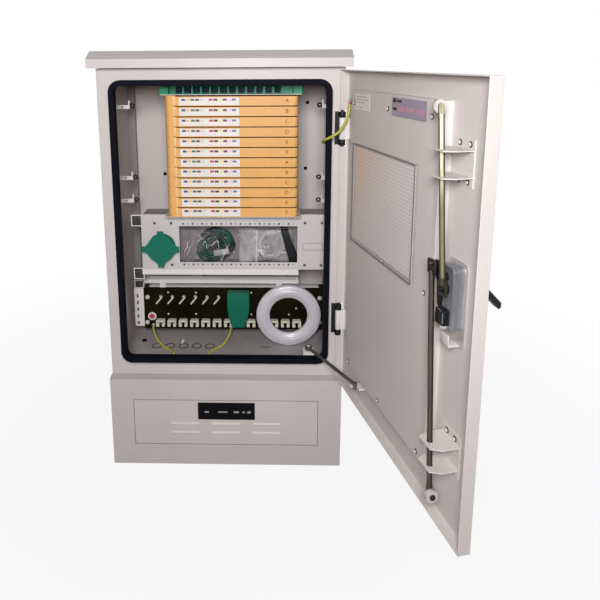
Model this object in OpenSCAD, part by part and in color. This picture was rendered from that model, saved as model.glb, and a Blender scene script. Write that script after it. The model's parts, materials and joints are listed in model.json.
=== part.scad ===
// Roadside fibre distribution cabinet, door open. Millimetres, +Z up.
// X runs right, Y runs into the cabinet, origin at the centre of the plinth foot.

/* [Body] */
// width of the body over its side panels
body_w = 570; // [500:1:650]
// depth of the body from front frame to back panel
body_d = 310; // [260:1:360]
// height of the body above the plinth
body_h = 758; // [700:1:820]
// sheet thickness of body, roof and door
sheet_t = 1.5; // [1:0.1:2.5]
// height of the rack shelf below the top of the body
rack_drop = 368; // [340:1:380]

/* [Plinth] */
// height of the plinth up to the body
plinth_h = 246; // [200:1:300]
// sheet thickness of the plinth
plinth_t = 2; // [1.5:0.1:3]
// how far the plinth stands out at the front
plinth_front = 11; // [6:1:20]
// how far the plinth stands out at the sides and the back
plinth_side = 5; // [4:1:12]
// drop of the sloped ledge round the plinth
ledge_drop = 8; // [4:1:12]
// width of the bottom flange
foot_w = 42; // [36:1:50]
// thickness of the bottom flange
foot_t = 3; // [2:0.5:5]
// anchor hole radius
anchor_r = 7; // [5:0.5:9]
// anchor hole distance from the plinth walls
anchor_in = 20; // [17:1:23]
// cover panel width
cover_w = 466; // [400:1:490]
// cover panel height
cover_h = 125; // [100:1:140]
// cover panel lower edge above the ground
cover_z = 56; // [50:1:65]
// gap round the cover panel
cover_gap = 0.5; // [0.3:0.1:1]
// how far the cover's rear rim reaches behind the opening
cover_rim = 10; // [6:1:14]
// width of the plinth's top flange
top_flange = 40; // [30:1:50]
// louvre pitch
louvre_p = 103; // [85:1:110]
// lower louvres above the cover's lower edge
louvre_up = 33; // [26:1:38]
// distance between the two rows of louvres
louvre_row = 25; // [18:1:30]
// how far the louvres stand out
louvre_out = 2; // [1:0.5:3]
// louvre width
louvre_w = 72; // [60:1:80]
// louvre height
louvre_h = 9; // [6:0.5:11]

/* [Roof] */
// roof overhang at the front
roof_front = 28; // [26:1:40]
// roof overhang at the sides and the back
roof_side = 14; // [8:1:20]
// height of the roof fascia
fascia_h = 20; // [14:1:26]
// gap between the body top and the fascia's lower edge
roof_gap = 1; // [0.5:0.5:4]
// width of the two channels under the roof
roof_rail_w = 40; // [30:1:50]
// roof channel distance from the body sides
roof_rail_in = 60; // [40:1:80]
// roof channel distance from the front and back of the body
roof_rail_end = 25; // [20:1:40]
// rise of the sloped roof band
roof_rise = 18; // [12:1:24]
// depth of the sloped roof band
roof_run = 33; // [24:1:45]

/* [Door] */
// gap between the door edges and the body sides
door_side_gap = 4; // [3:0.5:6]
// gap between the door and the plinth
door_gap_low = 3; // [2:0.5:5]
// gap between the door and the roof
door_gap_high = 6; // [4:0.5:8]
// distance from the front frame to the door flange
door_stand = 4; // [4:0.5:6]
// depth of the door over its flanges
door_depth = 22; // [20:0.5:26]
// opening angle of the door at rest
door_rest = 104; // [95:1:110]
// hinge axis distance from the door edge
axis_in = 3; // [2.5:0.1:4]
// hinge axis distance from the door flange
axis_back = 5; // [4.5:0.1:6]
// hinge height
hinge_h = 76; // [64:1:90]
// upper hinge centre below the top of the body
hinge_top = 138; // [110:1:160]
// lower hinge centre above the plinth
hinge_low = 154; // [140:1:180]
// hinge knuckle radius
knuckle_r = 7; // [6:0.5:7.5]
// hinge pin radius
pin_r = 3.5; // [3:0.1:4]
// height of each frame arm of a hinge
hinge_arm = 12; // [9:0.5:15]
// reach of the hinge leaf past its axis
leaf_in = 16; // [12:0.5:20]
// length of the hinge pin past its arms
pin_end = 3; // [2:0.5:4]
// room round a hinge in the door's edge
hinge_room = 4; // [3:0.5:5]
// radial fit of pins and rollers
run_fit = 0.08; // [0.05:0.01:0.1]
// axial gap between a hinge knuckle and an arm
arm_gap = 1; // [0.5:0.1:1.5]

/* [Door gasket] */
// distance from the body side to the gasket
gasket_side = 31; // [28:1:36]
// distance from the top of the body to the gasket
gasket_high = 26; // [22:1:30]
// distance from the plinth to the gasket
gasket_low = 42; // [38:1:46]
// width of the gasket band
gasket_w = 13; // [11:0.5:14]
// outer corner radius of the gasket
gasket_r = 28; // [22:1:36]
// depth of the lip that carries the gasket
lip_d = 16; // [12:0.5:17]
// gap between the gasket and the closed door
gasket_gap = 0.5; // [0.3:0.1:1]
// fit of the gasket on its lip
gasket_fit = 0.1; // [0.05:0.05:0.3]

/* [Door panel] */
// distance from the hinge edge to the inner panel
pan_hinge = 72; // [66:1:80]
// width of the inner panel
pan_w = 371; // [340:1:380]
// inner panel distance from the top of the door
pan_high = 41; // [40:1:60]
// inner panel distance from the bottom of the door
pan_low = 72; // [70:1:90]
// height of the inner panel above the door skin
pan_d = 20; // [14:0.5:22]
// sheet thickness of the inner panel
pan_t = 1.2; // [1:0.1:2]
// document pocket width
pocket_w = 280; // [220:1:300]
// document pocket height
pocket_h = 214; // [160:1:230]
// document pocket thickness
pocket_d = 6; // [5:0.5:8]
// document pocket lower edge above the inner panel's edge
pocket_z = 311; // [280:1:330]
// document pocket distance from the inner panel's hinge side
pocket_x = 26; // [20:1:40]
// welded rim of the document pocket
pocket_rim = 4; // [3:0.5:6]
// thickness of the pocket's clear face
window_t = 1; // [0.8:0.1:1.5]

/* [Lock] */
// lock axis distance from the hinge edge
lock_s = 486; // [480:1:490]
// lock axis height above the door's lower edge
lock_up = 439; // [420:1:450]
// radius of the cam pins
cam_a = 20; // [18:0.5:21]
// cam plate thickness
cam_t = 4; // [3:0.5:5]
// gap between the cam plate and the rods
cam_gap = 0.5; // [0.4:0.1:1]
// cam pin radius
cam_pin_r = 3; // [2.5:0.1:3.5]
// rod radius
rod_r = 4.5; // [4:0.1:5]
// distance of the rods behind the front frame when closed
rod_back = 14; // [13.5:0.5:18]
// lean of the upper rod
lean_up = 6.4; // [5:0.1:7]
// lean of the lower rod
lean_low = 4.5; // [3:0.1:5]
// upper roller axis distance from the lock axis
reach_up = 263; // [250:1:263]
// lower roller axis distance from the lock axis
reach_low = 372; // [350:1:372]
// roller radius
roller_r = 11; // [9:0.5:11.5]
// roller width
roller_w = 8; // [6:0.5:10]
// step at the roller's rim
roller_rim = 1; // [0.5:0.1:1.5]
// roller axle radius
axle_r = 3; // [2.5:0.1:3.5]
// side play of a roller
roller_gap = 0.5; // [0.3:0.1:1]
// thickness of the rod end plates
rod_end_t = 3; // [2.5:0.5:4]
// width of the rod end plates
rod_end_w = 22; // [20:0.5:24]
// length of the slot past the cam pin's travel
rod_slot = 2; // [1.5:0.5:3]
// slot play along the rod for the cam pin
slot_play = 1.4; // [1.3:0.1:2]
// rod guide fit
guide_fit = 0.6; // [0.4:0.1:1]
// rod guide width
guide_w = 54; // [46:1:56]
// rod guide height
guide_h = 43; // [36:1:50]
// rod guide sheet thickness
guide_t = 2; // [1.5:0.1:3]
// rod guide foot on the door skin
guide_foot = 15; // [12:0.5:18]
// rod guide depth past the rod
guide_lip = 6; // [5:0.5:9]
// upper guide centre above the lock axis
guide_up = 179; // [165:1:190]
// lower guide centre below the lock axis
guide_low = 301; // [285:1:310]
// lock case width
case_w = 40; // [34:1:46]
// lock case height
case_h = 104; // [90:1:110]
// depth of the lock case inside the door
case_d = 22; // [20:0.5:23]
// height of the lock case above the lock axis
case_up = 18; // [14:1:22]
// corner radius of the lock case
case_r = 8; // [4:1:12]
// base plate beyond the lock case
case_edge = 6; // [4:0.5:8]
// base plate below the lock case
case_low = 12; // [8:1:16]
// half width of the barrel boss on the hinge side
barrel_side = 8; // [6:0.5:9]
// radius of the cam's rounded ends
cam_lobe = 9; // [7:0.5:10]
// length of the cam's tongue past its pins
cam_finger = 28; // [26:1:30]
// spindle radius
spindle_r = 7; // [6:0.5:8]
// wall of the spindle sleeve through the door skin
sleeve_t = 3; // [2:0.5:4]
// handle plate above the lock axis
plate_up = 24; // [22:1:30]
// handle plate below the handle's end
plate_low = 18; // [12:1:24]
// handle length from its pivot
handle_l = 82; // [76:1:90]
// handle width
handle_w = 24; // [20:1:28]
// handle thickness
handle_t = 12; // [10:0.5:14]
// handle lift at rest
handle_lift = 45; // [30:1:50]
// handle plate thickness
plate_t = 6; // [4:0.5:8]
// gap between the folded handle and its plate
handle_gap = 2; // [1.5:0.5:3]
// handle fork thickness
fork_t = 5; // [4:0.5:6]
// handle pin radius
fork_pin = 3; // [2.5:0.1:3.5]
// handle end thickness over its grip
grip_t = 5; // [3:0.5:7]
// side play of the handle in its fork
fork_gap = 0.5; // [0.3:0.1:0.8]

/* [Door stay] */
// stay pivot distance right of the centre
stay_x = 209; // [200:1:215]
// stay pivot distance behind the front frame
stay_y = 15; // [14:0.5:18]
// stay height above the gasket's lower edge
stay_up = 11; // [10:0.5:12]
// stay rod radius
stay_r = 4; // [3.5:0.1:4.5]
// hook distance from the door's hinge edge
hook_s = 150; // [140:1:155]
// hook distance behind the front frame when closed
hook_y = 4; // [3:0.5:6]
// hook pin radius
hook_r = 3.5; // [3:0.1:3.8]
// play of the hook in its notch
hook_play = 1; // [0.8:0.1:1.5]
// gap between the stay rod and the plates below it
stay_gap = 2; // [1.5:0.1:3]
// half width of the stay bracket
stay_w = 14; // [11:0.5:16]
// stay bracket's foot above the floor
stay_foot = 16; // [10:1:22]
// half width of the hook plate on the door
tab_w = 13; // [11:0.5:16]
// foot height of the hook plate on the door
tab_h = 12; // [8:0.5:16]
// thickness of the stay brackets
stay_t = 3; // [2:0.5:4]

/* [Splice trays] */
// number of splice trays
tray_n = 12; // [12]
// tray pitch
tray_pitch = 25; // [24:0.5:25.5]
// gap between the bodies of two trays
tray_gap = 2.6; // [1.5:0.1:4]
// axial gap between two tray barrels
barrel_gap = 0.2; // [0.1:0.1:0.5]
// tray width from its left end to its right end
tray_w = 322; // [300:1:330]
// distance from the trays' rear to the back of the body
tray_rear = 70; // [60:1:80]
// tray front distance behind the front frame
tray_y = 60; // [54:1:70]
// left end of the trays, left of the centre
tray_x = 141; // [130:1:150]
// tray barrel radius
barrel_r = 13; // [11:0.5:14]
// pivot rod radius
pivot_r = 5; // [4:0.5:6]
// tray wall thickness
tray_t = 2; // [1.5:0.1:3]
// tray corner radius
tray_r = 9; // [6:0.5:12]
// label recess width in the tray front
label_w = 146; // [120:1:160]
// label recess height
label_h = 16; // [12:0.5:18]
// label recess depth
label_d = 0.6; // [0.4:0.1:1]
// label recess distance from the tray barrel
label_x = 9; // [6:1:14]
// radius of the fibre rings in a tray
ring_r = 34; // [28:1:40]
// height of the fibre rings and splice comb
ring_h = 10; // [6:0.5:12]
// distance of a fibre ring from the tray's middle
ring_x = 78; // [70:1:90]
// splice comb length
comb_l = 64; // [50:1:70]
// splice comb pitch
comb_p = 7; // [5:0.5:9]
// rack plate thickness
rack_t = 2; // [1.5:0.1:3]
// how far the rack plates reach past the trays' ends
rack_side = 9; // [6:1:12]
// adapter pitch
adapter_p = 21.7; // [20:0.1:22.5]
// adapter width and height
adapter_w = 14; // [12:0.5:15]
// adapter length in front of its frame
adapter_l = 16; // [12:0.5:20]
// depth of an adapter port
port_d = 9; // [6:0.5:11]
// wall round an adapter port
port_t = 2.2; // [1.5:0.1:3]
// first adapter from the left end of the trays
adapter_x = 34; // [30:1:38]
// adapter frame height
frame_h = 20; // [18:0.5:24]
// adapter frame distance behind the tray fronts
frame_y = 26; // [22:1:30]
// width of the adapter row's end caps
cap_w = 24; // [20:1:28]
// how far the end caps stand in front of the adapters
cap_out = 6; // [4:0.5:9]
// adapter frame depth behind its front
frame_d = 34; // [28:1:40]
// gap between a rack plate and a tray
rack_gap = 0.5; // [0.3:0.1:1]
// gap between the trays and the rack's back plate
rack_rear = 12; // [10:1:20]

/* [Cable guides] */
// length of a cable guide's arm
arm_l = 38; // [30:1:42]
// height of a cable guide's arm
arm_h = 10; // [8:0.5:14]
// height of the hook at the arm's end
arm_hook = 14; // [12:0.5:18]
// cable guide wall thickness
arm_t = 3; // [2:0.5:4]
// cable guide depth
arm_d = 8; // [6:0.5:12]
// cable guide foot size
arm_foot = 24; // [20:1:28]
// cable guide distance behind the front frame
arm_y = 150; // [140:1:160]
// upper cable guide below the top of the body
arm_top = 99; // [90:1:110]
// middle cable guide below the top of the body
arm_mid = 284; // [270:1:295]
// lower cable guide below the top of the body
arm_low = 345; // [335:1:360]

/* [Rack panels] */
// left end of the rack panels, left of the centre
panel_x = 219; // [210:1:225]
// width of the storage panel
panel_w = 479; // [460:1:485]
// height of the storage panel
panel_h = 147; // [130:1:150]
// storage panel distance behind the front frame
panel_y = 100; // [95:1:110]
// gap between the storage panel and the rack shelf
panel_gap = 2; // [1:0.5:4]
// room in front of an accessory bag
bag_front = 9; // [6:0.5:12]
// room behind an accessory bag
bag_back = 6; // [4:0.5:9]
// accessory bag corner radius
bag_r = 14; // [10:1:18]
// depth of the storage box
box_d = 65; // [55:1:75]
// margin of the storage box inside its panel
box_in = 4; // [2:0.5:6]
// window width
window_w = 304; // [270:1:310]
// window height
window_h = 97; // [84:1:104]
// window distance from the panel's left end
window_x = 98; // [88:1:100]
// window distance from the panel's lower edge
window_z = 19; // [14:1:22]
// radius of the small holes above and below the window
tie_r = 1.6; // [1.2:0.1:2]
// radius of every second one of these holes
tie_big = 2.4; // [1.6:0.1:3]
// pitch of the small holes
tie_p = 12.3; // [10:0.1:15]
// distance of the small holes from the window
tie_up = 6; // [5:0.5:8]
// width of the rack posts
post_w = 30; // [24:1:36]
// rack post distance from the trays' ends
post_in = 30; // [24:1:40]
// post arm above the storage box's floor
post_arm_z = 30; // [20:1:40]
// height of a post arm
post_arm_h = 40; // [30:1:50]
// height of the bar to the clamp panel
post_bar_h = 12; // [8:1:16]
// height of the cross rail under the storage box
rail_h = 20; // [14:1:24]
// depth of the cross rail
rail_d = 30; // [24:1:36]
// spool disc radius
spool_r = 35.5; // [28:0.5:36]
// spool arm length from its centre
spool_arm = 47.5; // [40:0.5:48]
// spool arm distance from the panel's left end
spool_in = 5; // [2:0.5:8]
// spool centre above the panel's lower edge
spool_up = 61; // [50:1:70]
// spool arm width
spool_w = 19.5; // [15:0.5:24]
// spool depth
spool_d = 24; // [18:1:30]
// spool wall thickness
spool_t = 2.5; // [2:0.1:3.5]

/* [Cable entry] */
// distance from the clamp panel to the rack's back plate
clamp_back = 62; // [56:1:68]
// clamp panel width
clamp_w = 503; // [480:1:505]
// clamp panel left end, left of the centre
clamp_x = 241; // [236:1:242]
// clamp panel height
clamp_h = 120; // [110:1:130]
// clamp panel lower edge above the floor
clamp_z = 30.5; // [28:0.5:36]
// width of the channels in the rear corners
ch_w = 17.5; // [14:0.5:22]
// depth of the channels in the rear corners
ch_d = 20; // [16:1:26]
// sheet thickness of channels and posts
ch_t = 2; // [1.5:0.1:3]
// thickness of the clamp panel
clamp_t = 2; // [1.5:0.5:3]
// depth of the clamp panel's top flange
clamp_top = 34; // [28:1:40]
// height of the cable rail above the clamp panel
cable_rail_up = 14; // [10:1:18]
// height of the cable rail
cable_rail_h = 12; // [9:1:15]
// length of the cable rail
cable_rail_l = 432; // [400:1:480]
// depth of the cable rail
cable_rail_d = 25; // [20:1:30]
// width of a clamp bracket's front behind the panel's end
bracket_w = 18; // [14:1:22]
// thickness of the clamp brackets
bracket_t = 2; // [1.5:0.5:3]
// pitch of the square holes in a clamp bracket
bracket_p = 20; // [16:1:22]
// height of the square holes in a clamp bracket
bracket_hole = 10; // [7:1:12]
// cable hook pitch
hook_p = 32.3; // [30:0.1:34]
// first cable hook from the clamp panel's left end
hook_x = 45; // [36:1:46]
// cable hooks below the clamp panel's top
hook_down = 32; // [30:1:40]
// half length of a cable hook
hook_l = 12; // [10:0.5:13]
// thickness of a cable hook
hook_t = 3.5; // [3:0.5:6]
// depth of a cable hook
hook_d = 10; // [8:0.5:14]
// slant of the cable hooks
hook_turn = 50; // [30:1:55]
// cable clamp pitch
clip_p = 31.7; // [30:0.1:33]
// first cable clamp from the clamp panel's left end
clip_x = 47; // [30:1:50]
// cable clamp width
clip_w = 24; // [18:0.5:26]
// cable clamp height
clip_h = 19; // [16:0.5:30]
// cable clamp depth
clip_d = 14; // [12:0.5:18]
// width of a cable clamp's slot
clip_slot = 8; // [7:0.5:11]
// cable clamps above the clamp panel's lower edge
clip_up = 11.5; // [2:0.5:14]
// sleeve centre right of the cabinet's middle
sleeve_x = 26; // [15:1:30]
// sleeve half width
sleeve_r = 30; // [26:0.5:32]
// sleeve half width at its foot
sleeve_foot = 16.5; // [14:0.5:20]
// sleeve depth
sleeve_d = 25; // [20:1:32]
// sleeve height
sleeve_h = 99; // [76:1:104]
// sleeve foot above the clamp panel's lower edge
sleeve_up = 23; // [20:1:32]
// gap between the sleeve and the clamp panel
sleeve_gap = 16; // [1:0.5:20]
// sleeve wall
sleeve_wall = 4; // [3:0.5:6]
// knock-out radius in the floor
knock_r = 13.5; // [11:0.5:15]
// knock-out pitch
knock_p = 36.6; // [32:0.1:40]
// first knock-out from the left wall
knock_x = 84; // [70:1:95]
// knock-out distance behind the front frame
knock_y = 145; // [120:1:170]
// width of the ring round a knock-out
knock_t = 1.6; // [1:0.1:2.5]
// radius of the floor slot's ends
slot_r = 4; // [3:0.5:6]
// floor slot right of the cabinet's middle
slot_x = 91; // [85:1:100]
// floor slot length between its ends
slot_l = 21; // [15:1:30]
// tube radius of the tube roll
tube_r = 6.4; // [6.2:0.1:7]
// turn spacing of the tube roll
tube_p = 11.8; // [11:0.1:12]
// middle radius of the tube roll
roll_r = 70; // [60:1:72]
// lean of the tube roll
roll_lean = 6; // [4:0.5:8]
// tube roll centre right of the cabinet's middle
roll_x = 163; // [150:1:170]
// distance of the tube roll's foot from the clamp panel
roll_off = 42.6; // [40:0.1:50]
// gap under things that rest
rest_gap = 0.2; // [0.1:0.1:0.5]
// radius of earth wires
wire_r = 2.4; // [1.8:0.1:3]

/* [Hidden] */
$fn = 48;
e = 0.5;
hw = body_w/2;
yf = -body_d/2;
yb = body_d/2;
zb = plinth_h;
zt = plinth_h + body_h;
in_x = hw - sheet_t;
in_b = yb - sheet_t;
floor_z = zb + sheet_t;
ceil_z = zt - sheet_t;
px = hw + plinth_side;
pf = yf - plinth_front;
pb = yb + plinth_side;
// gasket ring, outer edges
gx = hw - gasket_side;
gz0 = zb + gasket_low;
gz1 = zt - gasket_high;
lip_o = (gasket_w - sheet_t)/2;
// door in its closed place
dx = hw - door_side_gap;
dz0 = zb + door_gap_low;
dz1 = zt - door_gap_high;
d_lip = yf - door_stand;
d_out = d_lip - door_depth;
d_in = d_out + sheet_t;
ax_x = dx - axis_in;
ax_y = d_lip - axis_back;
g_front = d_in + gasket_gap;
hz1 = zt - hinge_top;
hz0 = zb + hinge_low;
pan_x1 = dx - pan_hinge;
pan_x0 = pan_x1 - pan_w;
pan_z0 = dz0 + pan_low;
pan_z1 = dz1 - pan_high;
pan_y = d_in + pan_d;
// lock in the closed place
lk_x = dx - lock_s;
lk_z = dz0 + lock_up;
rod_y = yf + rod_back;
cam_y1 = rod_y - rod_r - cam_gap;
cam_y0 = cam_y1 - cam_t;
case_y1 = d_in + case_d;
swing_y = d_out - plate_t - handle_gap - handle_t/2;
pin_side = cam_a*0.8125;
// stay
st_y = yf + stay_y;
st_z = gz0 + gasket_w + stay_up;
st_low = st_z - stay_r - stay_gap;
hk_x = dx - hook_s;
hk_y = yf + hook_y;
// hook point with the door open
hk_dx = hk_x - ax_x;
hk_dy = hk_y - ax_y;
hk_wx = ax_x + hk_dx*cos(door_rest) - hk_dy*sin(door_rest);
hk_wy = ax_y + hk_dx*sin(door_rest) + hk_dy*cos(door_rest);
stay_l = sqrt(pow(hk_wx - stay_x, 2) + pow(hk_wy - st_y, 2));
stay_a = atan2(hk_wy - st_y, hk_wx - stay_x);
// trays and rack
shelf_z = zt - rack_drop;
tray_z = shelf_z + rack_t + rack_gap;
ty0 = yf + tray_y;
ty1 = yb - tray_rear;
tx0 = -tray_x;
tx1 = tx0 + tray_w;
tp_x = tx0 + barrel_r;
tp_y = ty0 + barrel_r;
tray_cx = (tx0 + tx1)/2;
tray_cy = (ty0 + ty1)/2;
stack_z = tray_z + tray_n*tray_pitch;
head_z = stack_z + rack_gap;
rack_y = ty1 + rack_rear;
rack_x0 = tx0 - rack_side;
rack_x1 = tx1 + rack_side;
// panels
sp_y = yf + panel_y;
sp_z1 = shelf_z - panel_gap;
sp_z0 = sp_z1 - panel_h;
sp_x0 = -panel_x;
sp_x1 = sp_x0 + panel_w;
bx_y1 = sp_y + sheet_t + box_d;
bx_z0 = sp_z0 + box_in;
bx_z1 = sp_z1 - box_in/2;
win_x0 = sp_x0 + window_x;
win_z0 = sp_z0 + window_z;
tie_n = floor((window_w - tie_up)/tie_p);
spool_x = sp_x0 + spool_in + spool_arm;
spool_z = sp_z0 + spool_up;
cp_y = rack_y - clamp_back;
cp_z0 = floor_z + clamp_z;
cp_z1 = cp_z0 + clamp_h;
cp_x0 = -clamp_x;
cp_x1 = cp_x0 + clamp_w;
post_x = [tx0 + post_in, tx1 - post_in - post_w];
// routes of the earth wires on the floor and of the strap to the open door
wire_a = [[-216, 34.7, 288], [-215.5, 26, 286], [-213, 17, 281.5], [-208.5, 8, 275],
  [-202, -1, 268], [-194, -10, 261], [-185, -18, 255.5], [-175.5, -25, 252],
  [-166, -31, 250.4], [-157, -38, 250.2], [-150, -47, 250.2], [-145, -58, 250.2]];
wire_b = [[3, 34.7, 284], [2.5, 25, 282], [1, 15, 277], [-2, 6, 270.5],
  [-6.5, -2, 264], [-12.5, -10, 258], [-19.5, -17, 254], [-27, -23, 251.5],
  [-34.5, -29, 250.4], [-42, -36, 250.2], [-48, -45, 250.2], [-52, -56, 250.2]];
strap = [[283.2, -128, 836], [272, -127, 837], [262, -127, 839], [252, -131, 842],
  [243, -139, 844], [237, -150, 846], [235, -162, 848], [235, -174, 850],
  [237, -186, 851], [243, -195, 852], [252, -200, 854], [262, -200, 858],
  [271, -198, 865], [279, -195, 874], [285, -192, 885], [289, -189, 897],
  [292, -186, 909], [294, -184, 920], [295.4, -182.4, 930]];

// box between two corners
module box(x0, x1, y0, y1, z0, z1)
  translate([x0, y0, z0]) cube([x1 - x0, y1 - y0, z1 - z0]);

// upright plate: a flat shape in X and Z, from y0 to y1
module wall(y0, y1)
  translate([0, y1, 0]) rotate([90, 0, 0]) linear_extrude(y1 - y0) children();

// profile in Y and Z, from x0 to x1
module bar(x0, x1)
  translate([x0, 0, 0]) rotate([90, 0, 90]) linear_extrude(x1 - x0) children();

// flat shape with rounded corners between two corners
module round_rect(x0, x1, z0, z1, r) {
  translate([x0 + r, z0]) square([x1 - x0 - 2*r, z1 - z0]);
  translate([x0, z0 + r]) square([x1 - x0, z1 - z0 - 2*r]);
  for (x = [x0 + r, x1 - r])
    for (z = [z0 + r, z1 - r])
      translate([x, z]) circle(r);
}

// gasket outline, set in by d
module ring_shape(d)
  round_rect(-gx + d, gx - d, gz0 + d, gz1 - d, gasket_r - d);

// upright pin
module pin(x, y, z0, z1, r)
  translate([x, y, z0]) cylinder(h = z1 - z0, r = r);

// pin along Y
module pin_y(x, z, y0, y1, r)
  translate([x, y1, z]) rotate([90, 0, 0]) cylinder(h = y1 - y0, r = r);

// pin along X
module pin_x(y, z, x0, x1, r)
  translate([x0, y, z]) rotate([0, 90, 0]) cylinder(h = x1 - x0, r = r);

// direction of a route at its point i
function heading(p, i) =
  let (d = p[min(i + 1, len(p) - 1)] - p[max(i - 1, 0)]) d/norm(d);

// side directions along a route, each turned as little as can be from the last
function sides(p, i, u) =
  i >= len(p) ? [] :
  let (t = heading(p, i), v = u - (u*t)*t, w = v/norm(v))
    concat([w], sides(p, i + 1, w));

// round tube along a route
module cable(route, r) {
  m = 8;
  last = len(route) - 1;
  u = sides(route, 0, [0, 0, 1]);
  polyhedron(
    points = [for (i = [0:last]) for (k = [0:m - 1])
      route[i] + r*(cos(360*k/m)*u[i] + sin(360*k/m)*cross(heading(route, i), u[i]))],
    faces = concat(
      [[for (k = [0:m - 1]) k]],
      [[for (k = [m - 1:-1:0]) last*m + k]],
      [for (i = [0:last - 1]) for (k = [0:m - 1])
        [i*m + k, (i + 1)*m + k, i*m + (k + 1)%m]],
      [for (i = [0:last - 1]) for (k = [0:m - 1])
        [i*m + (k + 1)%m, (i + 1)*m + k, (i + 1)*m + (k + 1)%m]]));
}

// carries closed door parts to the open rest place
module at_door()
  translate([ax_x, ax_y, 0])
    rotate([0, 0, door_rest])
      translate([-ax_x, -ax_y, 0])
        children();

module plinth_body()
  intersection() {
    bar(-px, px)
      polygon([[pf, 0], [pb, 0], [pb, zb - ledge_drop], [yb, zb],
        [yf, zb], [pf, zb - ledge_drop]]);
    wall(pf, pb)
      polygon([[-px, 0], [px, 0], [px, zb - ledge_drop], [hw, zb],
        [-hw, zb], [-px, zb - ledge_drop]]);
  }

module anchor_holes()
  for (x = [-1, 1])
    for (y = [-1, 1])
      pin(x*(px - plinth_t - anchor_in), y*(pb - plinth_t - anchor_in), -e,
        foot_t + e, anchor_r);

module plinth_frame()
  color([0.76, 0.73, 0.72]) difference() {
    plinth_body();
    difference() {
      union() {
        box(-px + plinth_t, px - plinth_t, pf + plinth_t, pb - plinth_t,
          -e, zb - ledge_drop - plinth_t);
        box(-hw + plinth_t, hw - plinth_t, yf + plinth_t, yb - plinth_t,
          zb - ledge_drop - plinth_t - e, zb - plinth_t);
      }
      difference() {
        box(-px, px, pf, pb, -2*e, foot_t);
        box(-px + plinth_t + foot_w, px - plinth_t - foot_w,
          pf + plinth_t + foot_w, pb - plinth_t - foot_w, -3*e, foot_t + e);
      }
    }
    box(-hw + top_flange, hw - top_flange, yf + 1.5*top_flange, yb - 0.75*top_flange,
      zb - plinth_t - e, zb + e);
    box(-cover_w/2, cover_w/2, pf - e, pf + plinth_t + e, cover_z, cover_z + cover_h);
    anchor_holes();
  }

louvre_x = [-louvre_p, 0, louvre_p];
louvre_z = [cover_z + louvre_up, cover_z + louvre_up + louvre_row];
cover_y = pf + plinth_t/2;

module plinth_cover()
  color([0.76, 0.73, 0.72]) {
    difference() {
      union() {
        box(-cover_w/2 + cover_gap, cover_w/2 - cover_gap, cover_y,
          pf + plinth_t + e, cover_z + cover_gap, cover_z + cover_h - cover_gap);
        box(-cover_w/2 - cover_rim, cover_w/2 + cover_rim, pf + plinth_t,
          pf + plinth_t + sheet_t, cover_z - cover_rim, cover_z + cover_h + cover_rim);
      }
      for (x = louvre_x)
        for (z = louvre_z)
          box(x - louvre_w/2 + sheet_t, x + louvre_w/2 - sheet_t, pf - e,
            pf + plinth_t + sheet_t + e, z - louvre_h*0.4, z);
    }
    for (x = louvre_x)
      for (z = louvre_z)
        bar(x - louvre_w/2, x + louvre_w/2)
          polygon([[cover_y + 0.1, z + louvre_h/2], [pf - louvre_out, z + sheet_t*0.7],
            [pf - louvre_out, z], [cover_y + 0.1, z + sheet_t*1.4]]);
  }

module left_side_panel()
  color([0.78, 0.75, 0.74]) box(-hw, -in_x, yf, yb, zb, zt);

module right_side_panel()
  color([0.78, 0.75, 0.74]) box(in_x, hw, yf, yb, zb, zt);

module back_panel()
  color([0.78, 0.75, 0.74]) box(-in_x, in_x, in_b, yb, zb, zt);

module floor_plate()
  color([0.72, 0.70, 0.69]) difference() {
    box(-in_x, in_x, yf + sheet_t, in_b, zb, floor_z);
    for (i = [0:4])
      translate([-in_x + knock_x + i*knock_p, yf + knock_y, 0]) difference() {
        pin(0, 0, floor_z - sheet_t/3, floor_z + e, knock_r);
        pin(0, 0, floor_z - sheet_t, floor_z + 2*e, knock_r - knock_t);
      }
    for (x = [slot_x, slot_x + slot_l])
      pin(x, yf + knock_y, zb - e, floor_z + e, slot_r);
    box(slot_x, slot_x + slot_l, yf + knock_y - slot_r, yf + knock_y + slot_r,
      zb - e, floor_z + e);
  }

module top_plate()
  color([0.78, 0.75, 0.74]) box(-in_x, in_x, yf + sheet_t, in_b, ceil_z, zt);

module front_frame()
  color([0.80, 0.77, 0.76]) {
    wall(yf, yf + sheet_t) difference() {
      translate([-in_x, zb]) square([2*in_x, body_h]);
      ring_shape(lip_o + sheet_t);
    }
    wall(yf - lip_d, yf + sheet_t/2) difference() {
      ring_shape(lip_o);
      ring_shape(lip_o + sheet_t);
    }
  }

module door_gasket()
  color([0.06, 0.06, 0.07]) difference() {
    wall(g_front, yf - 1) difference() {
      ring_shape(0);
      ring_shape(gasket_w);
    }
    wall(yf - lip_d - gasket_fit, yf) difference() {
      ring_shape(lip_o - gasket_fit);
      ring_shape(lip_o + sheet_t + gasket_fit);
    }
  }

rf = yf - roof_front;
rb = yb + roof_side;
rx = hw + roof_side;
rz0 = zt + roof_gap;
rz1 = rz0 + fascia_h;
rz2 = rz1 + roof_rise;

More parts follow.
